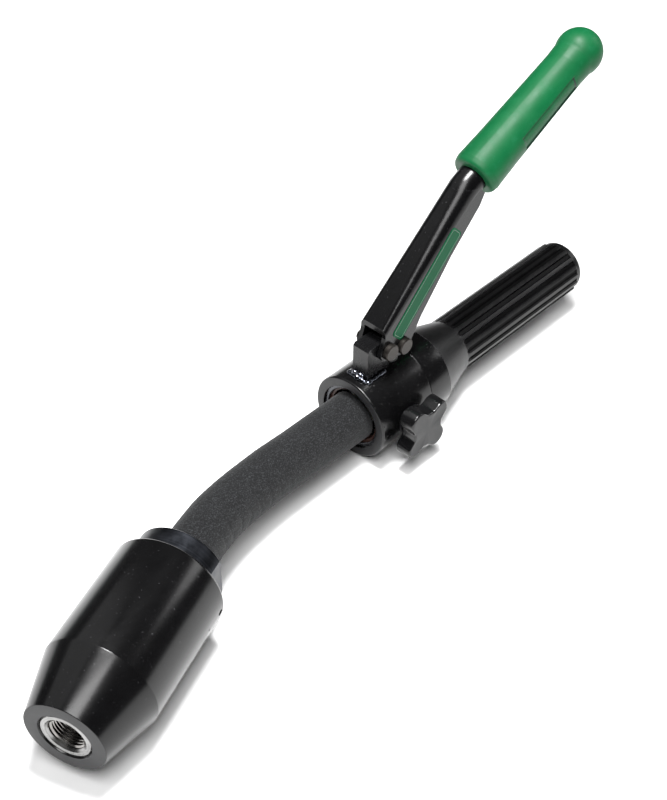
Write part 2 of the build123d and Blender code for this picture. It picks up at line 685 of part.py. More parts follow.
def lever_arm():
    """Pressed steel lever: a channel with two ears that closes into the grip's tube."""
    channel = lever_form(0) & extrude(side_profile(lever_outline()), 12, both=True)
    channel -= lever_hollow()
    for pin, radius in ((lever_point(PIVOT), PIVOT_PIN_R), (lever_point(CRANK), CRANK_PIN_R)):
        channel -= bar((pin[0], -20, pin[1]), (pin[0], 20, pin[1]), radius)
    rise = hypot(GRIP_MOUTH[0] - LEVER_BEND[0], GRIP_MOUTH[2] - LEVER_BEND[2])
    reach = rise + TUBE_IN_GRIP
    path = FilletPolyline(
        (LEVER_FRAME * Pos(LEVER_TUBE_START, 0, 0)).position,
        Vector(*LEVER_BEND),
        (TUBE_FRAME * Pos(reach, 0, 0)).position,
        radius=LEVER_BEND_R,
    )
    core = TUBE_FRAME * rod_x(6, reach + 10, TUBE_BORE_R)
    return LEVER_FRAME * channel + swept_round(path, LEVER_TUBE_R) - core


def lever_grip():
    """Dipped vinyl grip with a rolled lip and a ball end."""
    bore_r = LEVER_TUBE_R + RUNNING
    bore_end = TUBE_IN_GRIP + 3
    arc_start = 110
    steps = 12
    body = [
        (0, bore_r), (0, 11.6), (0.8, 12.9), (2.2, 13.7), (4.5, 13.9), (9, 13.8), (22, 13.3),
        (45, 12.85), (70, 12.3), (82, 12.1), (87, 12.35),
    ]
    angles = [arc_start - arc_start * step / steps for step in range(1, steps)]
    ball = [on_arc((GRIP_BALL_CENTRE, 0), GRIP_BALL_R, angle) for angle in angles]
    tip = (GRIP_BALL_CENTRE + GRIP_BALL_R, 0)
    return turned(*body, *ball, tip, (bore_end, 0), (bore_end, bore_r))


def headed_pin(place, radius):
    """Headed pin through the lever's ears, with a groove for its retaining ring."""
    x, _, z = place
    y = LEVER_HALF_WIDTH
    pin = bar((x, -y, z), (x, y + 3.4, z), radius)
    head = bar((x, -y - PIN_HEAD, z), (x, -y, z), PIN_HEAD_R)
    head = chamfer(head.faces().sort_by(Axis.Y)[0].edges(), 0.5)
    groove = bar((x, y + RING_GAP, z), (x, y + RING_GAP + 1, z), radius + 1)
    groove -= bar((x, y + RING_GAP, z), (x, y + RING_GAP + 1, z), radius - 0.6)
    return pin + head - groove


def pin_ring(place, radius):
    """External retaining ring, open on one side."""
    x, _, z = place
    y = LEVER_HALF_WIDTH + RING_GAP
    ring = bar((x, y + RUNNING, z), (x, y + 1 - RUNNING, z), radius + 1.8)
    ring -= bar((x, y - 0.5, z), (x, y + 2.5, z), radius - 0.6 + RUNNING)
    return ring - Pos(x, y + 0.5, z + radius + 1) * Box(2.0, 3, 4)


def label_plate():
    """Thin plate with rounded corners on the near side of the lever."""
    start = (-87.6, -5.7)
    end = (-20.8, -3.0)
    length = hypot(end[0] - start[0], end[1] - start[1])
    tilt = degrees(atan2(end[1] - start[1], end[0] - start[0]))
    middle = ((start[0] + end[0]) / 2, (start[1] + end[1]) / 2)
    plane = Plane(origin=(middle[0], 0, middle[1]), x_dir=(1, 0, 0), z_dir=(0, -1, 0))
    outline = plane * Rot(0, 0, tilt) * RectangleRounded(length, LABEL_WIDTH, 2.6)
    plate = extrude(outline, 12) & lever_form(LABEL_THICKNESS)
    return LEVER_FRAME * (plate - lever_form(0))


def pump_plunger():
    """Plunger with a flat head whose side slot follows the crank pin."""
    slot_half = CRANK_PIN_R + 0.6
    head_half_width = 4.9
    head_left = 26.8
    head_right = 38.8
    slot_right = 36.2
    under_slot = 2.9
    over_slot = 3.2
    slot_bottom = CRANK[2] - slot_half
    plunger = bar((PLUNGER_X, 0, PLUNGER_BOTTOM), (PLUNGER_X, 0, slot_bottom - 1), PLUNGER_R)
    head = Pos(head_left, 0, slot_bottom - under_slot) * Box(
        head_right - head_left, 2 * head_half_width, 2 * slot_half + under_slot + over_slot,
        align=(Align.MIN, Align.CENTER, Align.MIN),
    )
    head = fillet(head.edges().filter_by(Axis.Y).sort_by(Axis.Z)[-2:], 2.0)
    slot = Pos(head_left - 1, 0, CRANK[2]) * Box(
        slot_right - head_left + 1, 20, 2 * slot_half, align=(Align.MIN, Align.CENTER, Align.CENTER)
    )
    return plunger + head - slot


# ---------------------------------------------------------------- build and write
save("collar_sleeve", collar_sleeve())
save("rear_ring", rear_ring())
save("pump_block", pump_block())
save("lever_bracket", bracket())
save("bracket_weld", bracket_weld())
save("mouth_snap_ring", mouth_snap_ring())
save("mouth_seal_ring", ring_x(SEAL_RING[0], SEAL_RING[1], MOUTH_R - 0.1, MOUTH_R - 3.4))
save("plunger_gland", plunger_gland())
save("plunger_o_ring", upright(o_ring(0, PLUNGER_R + 1.0, 0.93), PLUNGER_X, 14.45))
save("release_boss", release_boss())
save("release_o_ring", sideways(o_ring(14.6, RELEASE_STEM_R + 0.55, 0.45), -1))
save("relief_ball", Pos(VALVE_X, VALVE_SEAT + 1.27, 0) * Sphere(1.6))
save("relief_spring", sideways(coil(10.4, 16.2, 1.9, 0.35, 5), 1))
save("relief_screw", sideways(
    rod_x(16.4, 20.6, 2.95) - Pos(20.6, 0, 0) * Box(2.0, 0.9, 10), 1))
save("outlet_ball", Pos(PLUNGER_X, 0, OUTLET_SEAT - 1.4) * Sphere(1.9))
save("outlet_spring", upright(coil(-18.2, -14.6, 1.7, 0.3, 4), PLUNGER_X, 0))
save("outlet_plug", upright(rod_x(-20.6, -18.4, 2.95), PLUNGER_X, 0))
save("suction_seat", Pos(0, 0, SUCTION_Z) * ring_x(SUCTION_SEAT_X, BLOCK_NOSE - 0.5, 3.95, 1.5))
save("suction_ball", Pos(SUCTION_SEAT_X - 1.9, 0, SUCTION_Z) * Sphere(2.4))
save("suction_spring", Pos(0, 0, SUCTION_Z) * coil(46.2, 58.0, 1.9, 0.3, 7))
save("suction_strainer", suction_strainer())
save("reservoir_bladder", reservoir_bladder())
save("bladder_clamp", bladder_clamp())
save("handle_shell", handle_shell())
save("fill_plug", fill_plug())
save("fill_plug_o_ring", o_ring(HANDLE_END - 5.8, 5.6, 0.6))

save("release_needle", release_needle())
save("release_knob", release_knob())
save("knob_set_screw", knob_set_screw())

save("lever_arm", lever_arm())
save("lever_grip", GRIP_FRAME * lever_grip())
save("pivot_pin", headed_pin(PIVOT, PIVOT_PIN_R))
save("crank_pin", headed_pin(CRANK, CRANK_PIN_R))
save("pin_retaining_rings", [pin_ring(PIVOT, PIVOT_PIN_R), pin_ring(CRANK, CRANK_PIN_R)])
save("label_plate", label_plate())
save("pump_plunger", pump_plunger())

centre_line, arc_radii = hose_centre_line()
print("hose arc radii", [round(radius) for radius in arc_radii], round(centre_line.length, 1))
hose_start = 2.4
hose_end = centre_line.length - 1.0 - 10.8
foam_start = 7.0
foam_end = centre_line.length - 1.0 - CAP_LENGTH - 0.4
hose = swept_round(stretch(centre_line, hose_start, hose_end), HOSE_R)
bore = swept_round(stretch(centre_line, hose_start - 1, hose_end + 1), HOSE_BORE_R)
save("hose_core", hose - bore)
foam = swept_round(stretch(centre_line, foam_start, foam_end), FOAM_R)
foam -= swept_round(centre_line, HOSE_R + FOAM_GAP)
foam -= rod_x(-7, 20, FERRULE_R + FOAM_GAP)
foam -= RAM_FRAME * rod_x(-CAP_LENGTH - 12.5, 0, FERRULE_R + FOAM_GAP)
save("foam_sleeve", foam)
save("pump_hose_fitting", Pos(8.8, 0, 0) * hose_ferrule())
save("ram_hose_fitting", RAM_FRAME * Pos(-CAP_LENGTH + 3.0, 0, 0) * hose_ferrule())

save("ram_cylinder", RAM_FRAME * ram_cylinder())
save("ram_rear_cap", RAM_FRAME * ram_rear_cap())
save("cap_o_rings", [RAM_FRAME * o_ring(8.2, 24.15, 0.8), RAM_FRAME * o_ring(13.6, 24.15, 0.8)])
save("cap_set_screw", RAM_FRAME * cap_set_screw())
save("rod_seal", RAM_FRAME * seal_in(ROD_SEAL, ROD_R + 3.5, ROD_R + 0.06))
save("rod_wiper", RAM_FRAME * seal_in(WIPER, ROD_R + 2.3, ROD_R + 0.06))
save("ram_piston", RAM_FRAME * ram_piston())
save("piston_seal", RAM_FRAME * seal_in(PISTON_SEAL, RAM_BORE_R - 0.06, 22.7))
save("return_spring", RAM_FRAME * coil(17.2, 51.8, 19.0, 1.6, 3.5))
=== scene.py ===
import json
import math

import bmesh
import bpy
import numpy as np
from mathutils import Matrix, Vector, noise


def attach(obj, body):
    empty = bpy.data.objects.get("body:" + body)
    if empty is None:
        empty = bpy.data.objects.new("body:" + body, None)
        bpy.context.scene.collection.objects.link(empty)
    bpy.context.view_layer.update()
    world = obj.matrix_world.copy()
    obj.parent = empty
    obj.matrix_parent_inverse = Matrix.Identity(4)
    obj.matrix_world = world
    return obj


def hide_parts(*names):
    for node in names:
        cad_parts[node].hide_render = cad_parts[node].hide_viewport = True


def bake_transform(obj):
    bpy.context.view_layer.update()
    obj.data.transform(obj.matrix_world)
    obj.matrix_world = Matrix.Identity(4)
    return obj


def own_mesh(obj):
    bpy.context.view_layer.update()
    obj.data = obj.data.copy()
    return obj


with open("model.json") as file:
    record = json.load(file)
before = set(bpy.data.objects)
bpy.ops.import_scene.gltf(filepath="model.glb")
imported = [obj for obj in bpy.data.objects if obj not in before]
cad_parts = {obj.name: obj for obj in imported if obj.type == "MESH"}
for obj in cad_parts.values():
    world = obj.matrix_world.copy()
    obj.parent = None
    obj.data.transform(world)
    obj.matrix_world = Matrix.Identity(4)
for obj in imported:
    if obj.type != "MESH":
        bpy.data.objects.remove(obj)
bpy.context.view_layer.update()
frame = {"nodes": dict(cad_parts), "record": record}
nodes = frame["nodes"]

# ---------------------------------------------------------------- places (mm, as in the CAD)
# The pump's own frame has X along its axis from the collar's mouth, Z up, knob on -Y.
YAW = math.radians(20.1)
RAM_REAR = np.array([-151.0, -20.5, 4.8])
NOSE = np.array([-math.cos(YAW), -math.sin(YAW), 0.0])
ROW_ORIGIN = RAM_REAR + NOSE * 96.555


def row(points):
    """Points of the pump's frame in mm, as row frame metres."""
    return (np.asarray(points, float) - ROW_ORIGIN) / 1000


def tilted(origin, angle):
    """Axes of a frame whose X is raised by angle above the pump's axis."""
    a = math.radians(angle)
    x = np.array([math.cos(a), 0, math.sin(a)])
    z = np.array([-math.sin(a), 0, math.cos(a)])
    return np.array(origin, float), np.array([x, [0, 1, 0], z])


# Lengths in mm, shared by the pieces below.
COLLAR_R = 25.4
COLLAR_SEAM = 41.3           # where the sleeve meets the end ring
RING_END = 57.8
HANDLE_START = 57.85
CONE_END = 83.0
HANDLE_R = 17.0              # over the ridges
HANDLE_END_R = 15.9          # plain end behind the flutes
HANDLE_END = 194.0
HANDLE_FLOOR = 189.0         # inner face of the handle's end wall
HANDLE_BORE_R = 13.2
FILL_HOLE_R = 5.0
FLUTES = 18
FLUTE_END = 189.6
FLUTE_FLOOR_R = 15.3
FLUTE_HALF = 1.55            # half of a flute's width
RAM_R = 30.2
RAM_SHOULDER = 67.3          # where the nose cone starts
RAM_LENGTH = 98.5
NOSE_FACE_R = 21.33
CAP_SCREW_ANGLE = -6.5       # degrees below the horizontal, on the near side
FACE_DEPTH = 0.00012         # metres; faces this close to an end plane belong to it

PUMP = (np.zeros(3), np.eye(3))
RAM = (RAM_REAR, np.array([NOSE, [-NOSE[1], NOSE[0], 0], [0, 0, 1]]))
LEVER = tilted((88.0, 0.0, 109.3), 42.0)
GRIP = tilted((95.4, 0.0, 112.7), 24.6)


def place(local, where):
    """Local points in mm, as row frame metres."""
    origin, axes = where
    return row(np.asarray(local, float) @ axes + origin)


# ---------------------------------------------------------------- mesh helpers
def finish_mesh(name, vertices, faces, body, material, sharp=35.0):
    mesh = bpy.data.meshes.new(name)
    mesh.from_pydata([tuple(v) for v in vertices], [], faces)
    bm = bmesh.new()
    bm.from_mesh(mesh)
    bmesh.ops.remove_doubles(bm, verts=bm.verts, dist=1e-7)
    bmesh.ops.recalc_face_normals(bm, faces=bm.faces)
    bm.to_mesh(mesh)
    bm.free()
    mesh.polygons.foreach_set("use_smooth", [True] * len(mesh.polygons))
    mesh.set_sharp_from_angle(angle=math.radians(sharp))
    piece = bpy.data.objects.new(name, mesh)
    bpy.context.scene.collection.objects.link(piece)
    mesh.materials.append(material)
    if body:
        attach(piece, body)
    return piece


def skin(rings, ends="none"):
    """Vertices and quads over a grid of closed rings; ends are none, closed, or joined."""
    rings = np.asarray(rings, float)
    n, m, _ = rings.shape
    faces = []
    for i in range(n - 1):
        for j in range(m):
            k = (j + 1) % m
            faces.append((i * m + j, i * m + k, (i + 1) * m + k, (i + 1) * m + j))
    if ends == "joined":
        last = (n - 1) * m
        for j in range(m):
            k = (j + 1) % m
            faces.append((last + j, last + k, k, j))
    if ends == "closed":
        faces.append(tuple(range(m)))
        faces.append(tuple(range((n - 1) * m, n * m)))
    return rings.reshape(-1, 3), faces


def signed(angle):
    """The angle brought between minus and plus half a turn."""
    return (angle + math.pi) % (2 * math.pi) - math.pi


def softened(corners, steps=5):
    """A profile of (x, r, rounding) corners, with an arc at each corner that has a rounding."""
    points = []
    count = len(corners)
    for i, (x, r, size) in enumerate(corners):
        here = np.array([x, r], float)
        before = np.array(corners[i - 1][:2], float)
        after = np.array(corners[(i + 1) % count][:2], float)
        if size <= 0:
            points.append(tuple(here))
            continue
        u = (before - here) / np.linalg.norm(before - here)
        v = (after - here) / np.linalg.norm(after - here)
        half = math.acos(float(np.clip(u @ v, -1, 1))) / 2
        setback = size / math.tan(half)
        centre = here + (u + v) / np.linalg.norm(u + v) * size / math.sin(half)
        start = here + u * setback - centre
        end = here + v * setback - centre
        a0 = math.atan2(start[1], start[0])
        turn = signed(math.atan2(end[1], end[0]) - a0)
        for k in range(steps + 1):
            a = a0 + turn * k / steps
            points.append((centre[0] + size * math.cos(a), centre[1] + size * math.sin(a)))
    return points


def divided(profile, longest):
    """The closed profile with long spans split, so that displaced detail has vertices."""
    out = []
    for (x0, r0), (x1, r1) in zip(profile, profile[1:] + profile[:1]):
        parts = max(1, int(math.hypot(x1 - x0, r1 - r0) / longest))
        for k in range(parts):
            t = k / parts
            out.append((x0 + (x1 - x0) * t, r0 + (r1 - r0) * t))
    return out


def turned(profile, where, segments=128, radius=None):
    """A closed solid of revolution about a frame's X axis; radius(x, r, angle) may shape it."""
    rings = []
    angles = np.arange(segments) / segments * 2 * math.pi
    for x, r in profile:
        rr = np.full(segments, r) if radius is None else np.array([radius(x, r, a) for a in angles])
        ring = np.stack([np.full(segments, x), rr * np.cos(angles), rr * np.sin(angles)], 1)
        rings.append(place(ring, where))
    return skin(np.array(rings), "joined")


def smooth_step(t):
    t = min(max(t, 0.0), 1.0)
    return t * t * (3 - 2 * t)


# ---------------------------------------------------------------- materials
def new_material(name):
    material = bpy.data.materials.new(name)
    material.use_nodes = True
    tree = material.node_tree
    shader = tree.nodes["Principled BSDF"]
    return material, tree, shader


def spot_noise(tree, scale, detail=4.0, rough=0.5, stretch=None):
    """A noise over the piece's own coordinates, in metres; stretch scales its axes."""
    coordinates = tree.nodes.new("ShaderNodeTexCoord")
    source = coordinates.outputs["Object"]
    if stretch:
        mapping = tree.nodes.new("ShaderNodeMapping")
        mapping.inputs["Rotation"].default_value = stretch[0]
        mapping.inputs["Scale"].default_value = stretch[1]
        tree.links.new(source, mapping.inputs["Vector"])
        source = mapping.outputs["Vector"]
    texture = tree.nodes.new("ShaderNodeTexNoise")
    texture.inputs["Scale"].default_value = scale
    texture.inputs["Detail"].default_value = detail
    texture.inputs["Roughness"].default_value = rough
    tree.links.new(source, texture.inputs["Vector"])
    return texture.outputs["Fac"]


def ranged(tree, source, low, high, start=0.3, end=0.7):
    node = tree.nodes.new("ShaderNodeMapRange")
    node.inputs["From Min"].default_value = start
    node.inputs["From Max"].default_value = end
    node.inputs["To Min"].default_value = low
    node.inputs["To Max"].default_value = high
    tree.links.new(source, node.inputs["Value"])
    return node.outputs["Result"]


def ramped(tree, source, stops):
    node = tree.nodes.new("ShaderNodeValToRGB")
    ramp = node.color_ramp
    while len(ramp.elements) < len(stops):
        ramp.elements.new(0.5)
    for element, (position, colour) in zip(ramp.elements, stops):
        element.position = position
        element.color = (*colour, 1.0)
    tree.links.new(source, node.inputs["Fac"])
    return node.outputs["Color"]


def blended(tree, factor, first, second):
    """Mix of two colour outputs, or of an output and a plain colour."""
    node = tree.nodes.new("ShaderNodeMix")
    node.data_type = "RGBA"
    tree.links.new(factor, node.inputs["Factor"])
    for socket, value in ((node.inputs["A"], first), (node.inputs["B"], second)):
        if isinstance(value, tuple):
            socket.default_value = (*value, 1.0)
        else:
            tree.links.new(value, socket)
    return node.outputs["Result"]


def bumped(tree, shader, heights):
    """Chained bump nodes from (height output, strength, distance in metres)."""
    normal = None
    for height, strength, distance in heights:
        node = tree.nodes.new("ShaderNodeBump")
        node.inputs["Strength"].default_value = strength
        node.inputs["Distance"].default_value = distance
        tree.links.new(height, node.inputs["Height"])
        if normal is not None:
            tree.links.new(normal, node.inputs["Normal"])
        normal = node.outputs["Normal"]
    tree.links.new(normal, shader.inputs["Normal"])


def edge_mask(tree, radius):
    """1 on convex and concave edges, 0 on open faces."""
    bevel = tree.nodes.new("ShaderNodeBevel")
    bevel.samples = 6
    bevel.inputs["Radius"].default_value = radius
    geometry = tree.nodes.new("ShaderNodeNewGeometry")
    dot = tree.nodes.new("ShaderNodeVectorMath")
    dot.operation = "DOT_PRODUCT"
    tree.links.new(bevel.outputs["Normal"], dot.inputs[0])
    tree.links.new(geometry.outputs["Normal"], dot.inputs[1])
    return ranged(tree, dot.outputs["Value"], 1.0, 0.0, 0.86, 0.985)


def painted(name, dark, light, rough, orange_peel, specks=0.0, wear=0.5, specular=0.36):
    """Black finish with slight mottling, dust specks, fine scratches and rubbed edges."""
    material, tree, shader = new_material(name)
    shader.inputs["Specular IOR Level"].default_value = specular
    mottle = spot_noise(tree, 60.0, 5.0, 0.6)
    colour = ramped(tree, mottle, [(0.3, dark), (0.7, light)])
    dust = spot_noise(tree, 900.0, 1.0, 0.4)
    dust_mask = ranged(tree, dust, 0.0, 0.35, 0.72, 0.8)
    colour = blended(tree, dust_mask, colour, (0.07, 0.07, 0.075))
    edge = edge_mask(tree, 0.0007)
    patch = ranged(tree, spot_noise(tree, 420.0, 4.0, 0.6), 0.0, wear, 0.45, 0.75)
    both = tree.nodes.new("ShaderNodeMath")
    both.operation = "MULTIPLY"
    tree.links.new(edge, both.inputs[0])
    tree.links.new(patch, both.inputs[1])
    colour = blended(tree, both.outputs["Value"], colour, (0.08, 0.08, 0.085))
    tree.links.new(colour, shader.inputs["Base Color"])
    smear = spot_noise(tree, 38.0, 6.0, 0.65, ((0.3, 0.2, 0.5), (1.0, 2.4, 1.0)))
    tree.links.new(ranged(tree, smear, rough - 0.02, rough + 0.04), shader.inputs["Roughness"])
    bumped(tree, shader, [
        (spot_noise(tree, 700.0, 3.0, 0.5), orange_peel, 0.00006),
        (ranged(tree, spot_noise(tree, 520.0, 0.0, 0.3), 0.0, 1.0, 0.74, 0.8), specks, 0.00012),
    ])
    return material


def machined(name, dark, light, rough, where, rings=0.25, metallic=1.0, tint=None):
    """Turned steel: fine rings about a frame's X axis over a cloudy tone."""
    material, tree, shader = new_material(name)
    shader.inputs["Metallic"].default_value = metallic
    origin, axes = where
    centre = row(origin)
    coordinates = tree.nodes.new("ShaderNodeTexCoord")
    shift = tree.nodes.new("ShaderNodeVectorMath")
    shift.operation = "SUBTRACT"
    shift.inputs[1].default_value = tuple(centre)
    tree.links.new(coordinates.outputs["Object"], shift.inputs[0])
    along = tree.nodes.new("ShaderNodeVectorMath")
    along.operation = "DOT_PRODUCT"
    along.inputs[1].default_value = tuple(axes[0])
    tree.links.new(shift.outputs["Vector"], along.inputs[0])
    across = tree.nodes.new("ShaderNodeVectorMath")
    across.operation = "CROSS_PRODUCT"
    across.inputs[1].default_value = tuple(axes[0])
    tree.links.new(shift.outputs["Vector"], across.inputs[0])
    length = tree.nodes.new("ShaderNodeVectorMath")
    length.operation = "LENGTH"
    tree.links.new(across.outputs["Vector"], length.inputs[0])
    joined = tree.nodes.new("ShaderNodeCombineXYZ")
    tree.links.new(along.outputs["Value"], joined.inputs["X"])
    tree.links.new(length.outputs["Value"], joined.inputs["Y"])
    lines = tree.nodes.new("ShaderNodeTexNoise")
    lines.inputs["Scale"].default_value = 2600.0
    lines.inputs["Detail"].default_value = 3.0
    tree.links.new(joined.outputs["Vector"], lines.inputs["Vector"])
    cloud = spot_noise(tree, 130.0, 5.0, 0.6)
    mixed = tree.nodes.new("ShaderNodeMath")
    mixed.operation = "ADD"
    tree.links.new(ranged(tree, cloud, 0.0, 0.6), mixed.inputs[0])
    tree.links.new(ranged(tree, lines.outputs["Fac"], 0.0, 0.4), mixed.inputs[1])
    stops = [(0.1, dark), (0.9, light)]
    if tint:
        stops.insert(1, (0.45, tint))
    colour = ramped(tree, mixed.outputs["Value"], stops)
    tree.links.new(colour, shader.inputs["Base Color"])
    tree.links.new(ranged(tree, cloud, rough - 0.06, rough + 0.1), shader.inputs["Roughness"])
    bumped(tree, shader, [
        (lines.outputs["Fac"], rings, 0.00003),
        (spot_noise(tree, 1500.0, 2.0, 0.5), 0.1, 0.00003),
    ])
    return material


def moulded(name, dark, light, rough, grain, grain_scale, painted_sheen_colour=None, specular=0.35):
    """Moulded plastic or rubber with fine grain, cloudy tone and, given a sheen colour, patches of
    painted sheen.
    """
    material, tree, shader = new_material(name)
    shader.inputs["Specular IOR Level"].default_value = specular
    cloud = spot_noise(tree, 45.0, 5.0, 0.6)
    colour = ramped(tree, cloud, [(0.25, dark), (0.75, light)])
    # Patches of a lighter colour stand in for the sheen's highlights: painted sheen.
    if painted_sheen_colour:
        painted_sheen = ranged(tree, spot_noise(tree, 240.0, 5.0, 0.7), 0.0, 0.5, 0.55, 0.8)
        colour = blended(tree, painted_sheen, colour, painted_sheen_colour)
    tree.links.new(colour, shader.inputs["Base Color"])
    smear = spot_noise(tree, 90.0, 5.0, 0.6)
    tree.links.new(ranged(tree, smear, rough - 0.05, rough + 0.08), shader.inputs["Roughness"])
    bumped(tree, shader, [(spot_noise(tree, grain_scale, 3.0, 0.6), grain, 0.00008)])
    return material


def foam_material():
    """Fine closed-cell foam: dark, with a light speckle of cut cells and a soft sheen."""
    material, tree, shader = new_material("foam")
    rest = tree.nodes.new("ShaderNodeAttribute")
    rest.attribute_name = "rest"
    cells = tree.nodes.new("ShaderNodeTexNoise")
    cells.inputs["Scale"].default_value = 1500.0
    cells.inputs["Detail"].default_value = 2.0
    cells.inputs["Roughness"].default_value = 0.7
    tree.links.new(rest.outputs["Vector"], cells.inputs["Vector"])
    patches = tree.nodes.new("ShaderNodeTexNoise")
    patches.inputs["Scale"].default_value = 70.0
    patches.inputs["Detail"].default_value = 5.0
    tree.links.new(rest.outputs["Vector"], patches.inputs["Vector"])
    ground = ramped(
        tree, patches.outputs["Fac"],
        [(0.3, (0.004, 0.0041, 0.0045)), (0.7, (0.0065, 0.0068, 0.0073))])
    speck = ranged(tree, cells.outputs["Fac"], 0.0, 0.9, 0.5, 0.66)
    tree.links.new(blended(tree, speck, ground, (0.035, 0.037, 0.04)), shader.inputs["Base Color"])
    shader.inputs["Roughness"].default_value = 0.92
    shader.inputs["Specular IOR Level"].default_value = 0.25
    shader.inputs["Sheen Weight"].default_value = 0.09
    shader.inputs["Sheen Roughness"].default_value = 0.5
    bumped(tree, shader, [(cells.outputs["Fac"], 0.6, 0.00018)])
    return material


BLACK = painted("black_paint", (0.0016, 0.0016, 0.0018), (0.0028, 0.0028, 0.0031), 0.19, 0.1, 0.06)
COLLAR_BLACK = painted("collar_black", (0.0018, 0.0018, 0.002), (0.0034, 0.0034, 0.0037), 0.2, 0.25, 0.5)
LEVER_BLACK = painted(
    "lever_black", (0.0016, 0.0016, 0.0018), (0.003, 0.003, 0.0033), 0.22, 0.2, 0.15, specular=0.26)
FACE_GREY = painted("face_grey", (0.012, 0.0124, 0.0135), (0.02, 0.0204, 0.022), 0.45, 0.3, 0.0, 0.1)
BRACKET_DARK = painted("bracket_dark", (0.003, 0.003, 0.0033), (0.007, 0.007, 0.0076), 0.26, 0.35, 0.2)
WELD = machined("weld_steel", (0.02, 0.022, 0.027), (0.16, 0.17, 0.2), 0.1, PUMP, 0.0)
CAP_STEEL = machined("cap_steel", (0.012, 0.013, 0.016), (0.04, 0.043, 0.05), 0.34, RAM, 0.4)
ROD_STEEL = machined("rod_steel", (0.17, 0.168, 0.165), (0.38, 0.38, 0.375), 0.26, RAM, 0.6)
THREAD_STEEL = machined("thread_steel", (0.16, 0.15, 0.145), (0.46, 0.45, 0.43), 0.18, RAM, 0.3)
PIN_STEEL = machined(
    "pin_steel", (0.012, 0.011, 0.0105), (0.05, 0.045, 0.041), 0.36, PUMP, 0.2, 0.8,
    (0.03, 0.026, 0.023))
DARK_STEEL = machined("dark_steel", (0.016, 0.0165, 0.018), (0.06, 0.06, 0.066), 0.32, PUMP, 0.3)
SNAP_STEEL = machined("snap_ring_steel", (0.03, 0.031, 0.034), (0.1, 0.103, 0.112), 0.26, PUMP, 0.1)
BRIGHT_STEEL = machined("bright_steel", (0.3, 0.3, 0.3), (0.55, 0.55, 0.55), 0.28, PUMP, 0.3)
ZINC = machined("zinc_plate", (0.32, 0.30, 0.23), (0.52, 0.50, 0.42), 0.3, PUMP, 0.2)
BRASS = machined("strainer_brass", (0.45, 0.30, 0.10), (0.72, 0.53, 0.22), 0.3, PUMP, 0.2)
# The handle's last colour is painted sheen.
HANDLE = moulded(
    "handle_plastic", (0.0038, 0.0038, 0.004), (0.0068, 0.0068, 0.0072), 0.34, 0.3, 900.0,
    (0.012, 0.012, 0.013))
# Darker, less shiny copy of the handle's plastic for the flutes: painted shade in the grooves.
FLUTE_PAINTED_SHADE = moulded(
    "flute_painted_shade", (0.0012, 0.0012, 0.0013), (0.0024, 0.0024, 0.0026), 0.45, 0.3, 900.0,
    specular=0.12)
KNOB = moulded(
    "knob_plastic", (0.003, 0.003, 0.0033), (0.0055, 0.0055, 0.006), 0.16, 0.2, 700.0, specular=0.5)
# Matter copy of the knob's plastic for its face: the matte finish is real, the lighter grey is painted
# light.
KNOB_FACE_MATTE_PAINTED_LIGHT = moulded(
    "knob_face_matte_painted_light", (0.006, 0.0062, 0.0066), (0.0115, 0.0118, 0.0125), 0.36, 0.45, 1100.0,
    specular=0.25)
# The grip's last colour is painted sheen.
GREEN = moulded(
    "grip_vinyl", (0.0008, 0.072, 0.021), (0.0014, 0.1, 0.03), 0.46, 0.16, 500.0,
    (0.014, 0.13, 0.06), 0.25)
# Darker green for the edge of the grip's recess: painted shade.
GREEN_PAINTED_SHADE = moulded("grip_recess_painted_shade", (0.0015, 0.016, 0.008), (0.002, 0.028, 0.013), 0.45, 0.25, 700.0)
LABEL = moulded(
    "label_film", (0.0025, 0.072, 0.028), (0.004, 0.092, 0.037), 0.36, 0.1, 400.0, specular=0.06)
LABEL_LINE = moulded(
    "label_line", (0.16, 0.24, 0.19), (0.21, 0.29, 0.24), 0.35, 0.1, 400.0, specular=0.2)
RUBBER = moulded("black_rubber", (0.006, 0.006, 0.006), (0.012, 0.012, 0.012), 0.6, 0.5, 800.0)
RED_RUBBER = moulded("red_rubber", (0.035, 0.013, 0.009), (0.075, 0.03, 0.019), 0.45, 0.4, 700.0)
FOAM = foam_material()

CAD_MATERIALS = {
    "black_paint": BLACK,
    "dark_steel": DARK_STEEL,
    "weld_steel": WELD,
    "bright_steel": BRIGHT_STEEL,
    "pin_steel": PIN_STEEL,
    "spring_steel": DARK_STEEL,
    "fitting_steel": ZINC,
    "strainer_brass": BRASS,
    "handle_plastic": HANDLE,
    "knob_plastic": KNOB,
    "grip_vinyl": GREEN,
    "label_film": LABEL,
    "foam": FOAM,
    "hose_rubber": RUBBER,
    "seal_rubber": RUBBER,
    "red_rubber": RED_RUBBER,
}
for entry in frame["record"]["subparts"]:
    node = nodes[entry["node"]]
    for index in range(len(node.data.materials)):
        node.data.materials[index] = CAD_MATERIALS[entry["material_slot"]]
OWN_MATERIALS = {
    "ram_rear_cap": CAP_STEEL,
    "ram_piston": ROD_STEEL,
    "lever_bracket": BRACKET_DARK,
    "lever_arm": LEVER_BLACK,
    "fill_plug": HANDLE,
}
for name, material in OWN_MATERIALS.items():
    for index in range(len(nodes[name].data.materials)):
        nodes[name].data.materials[index] = material


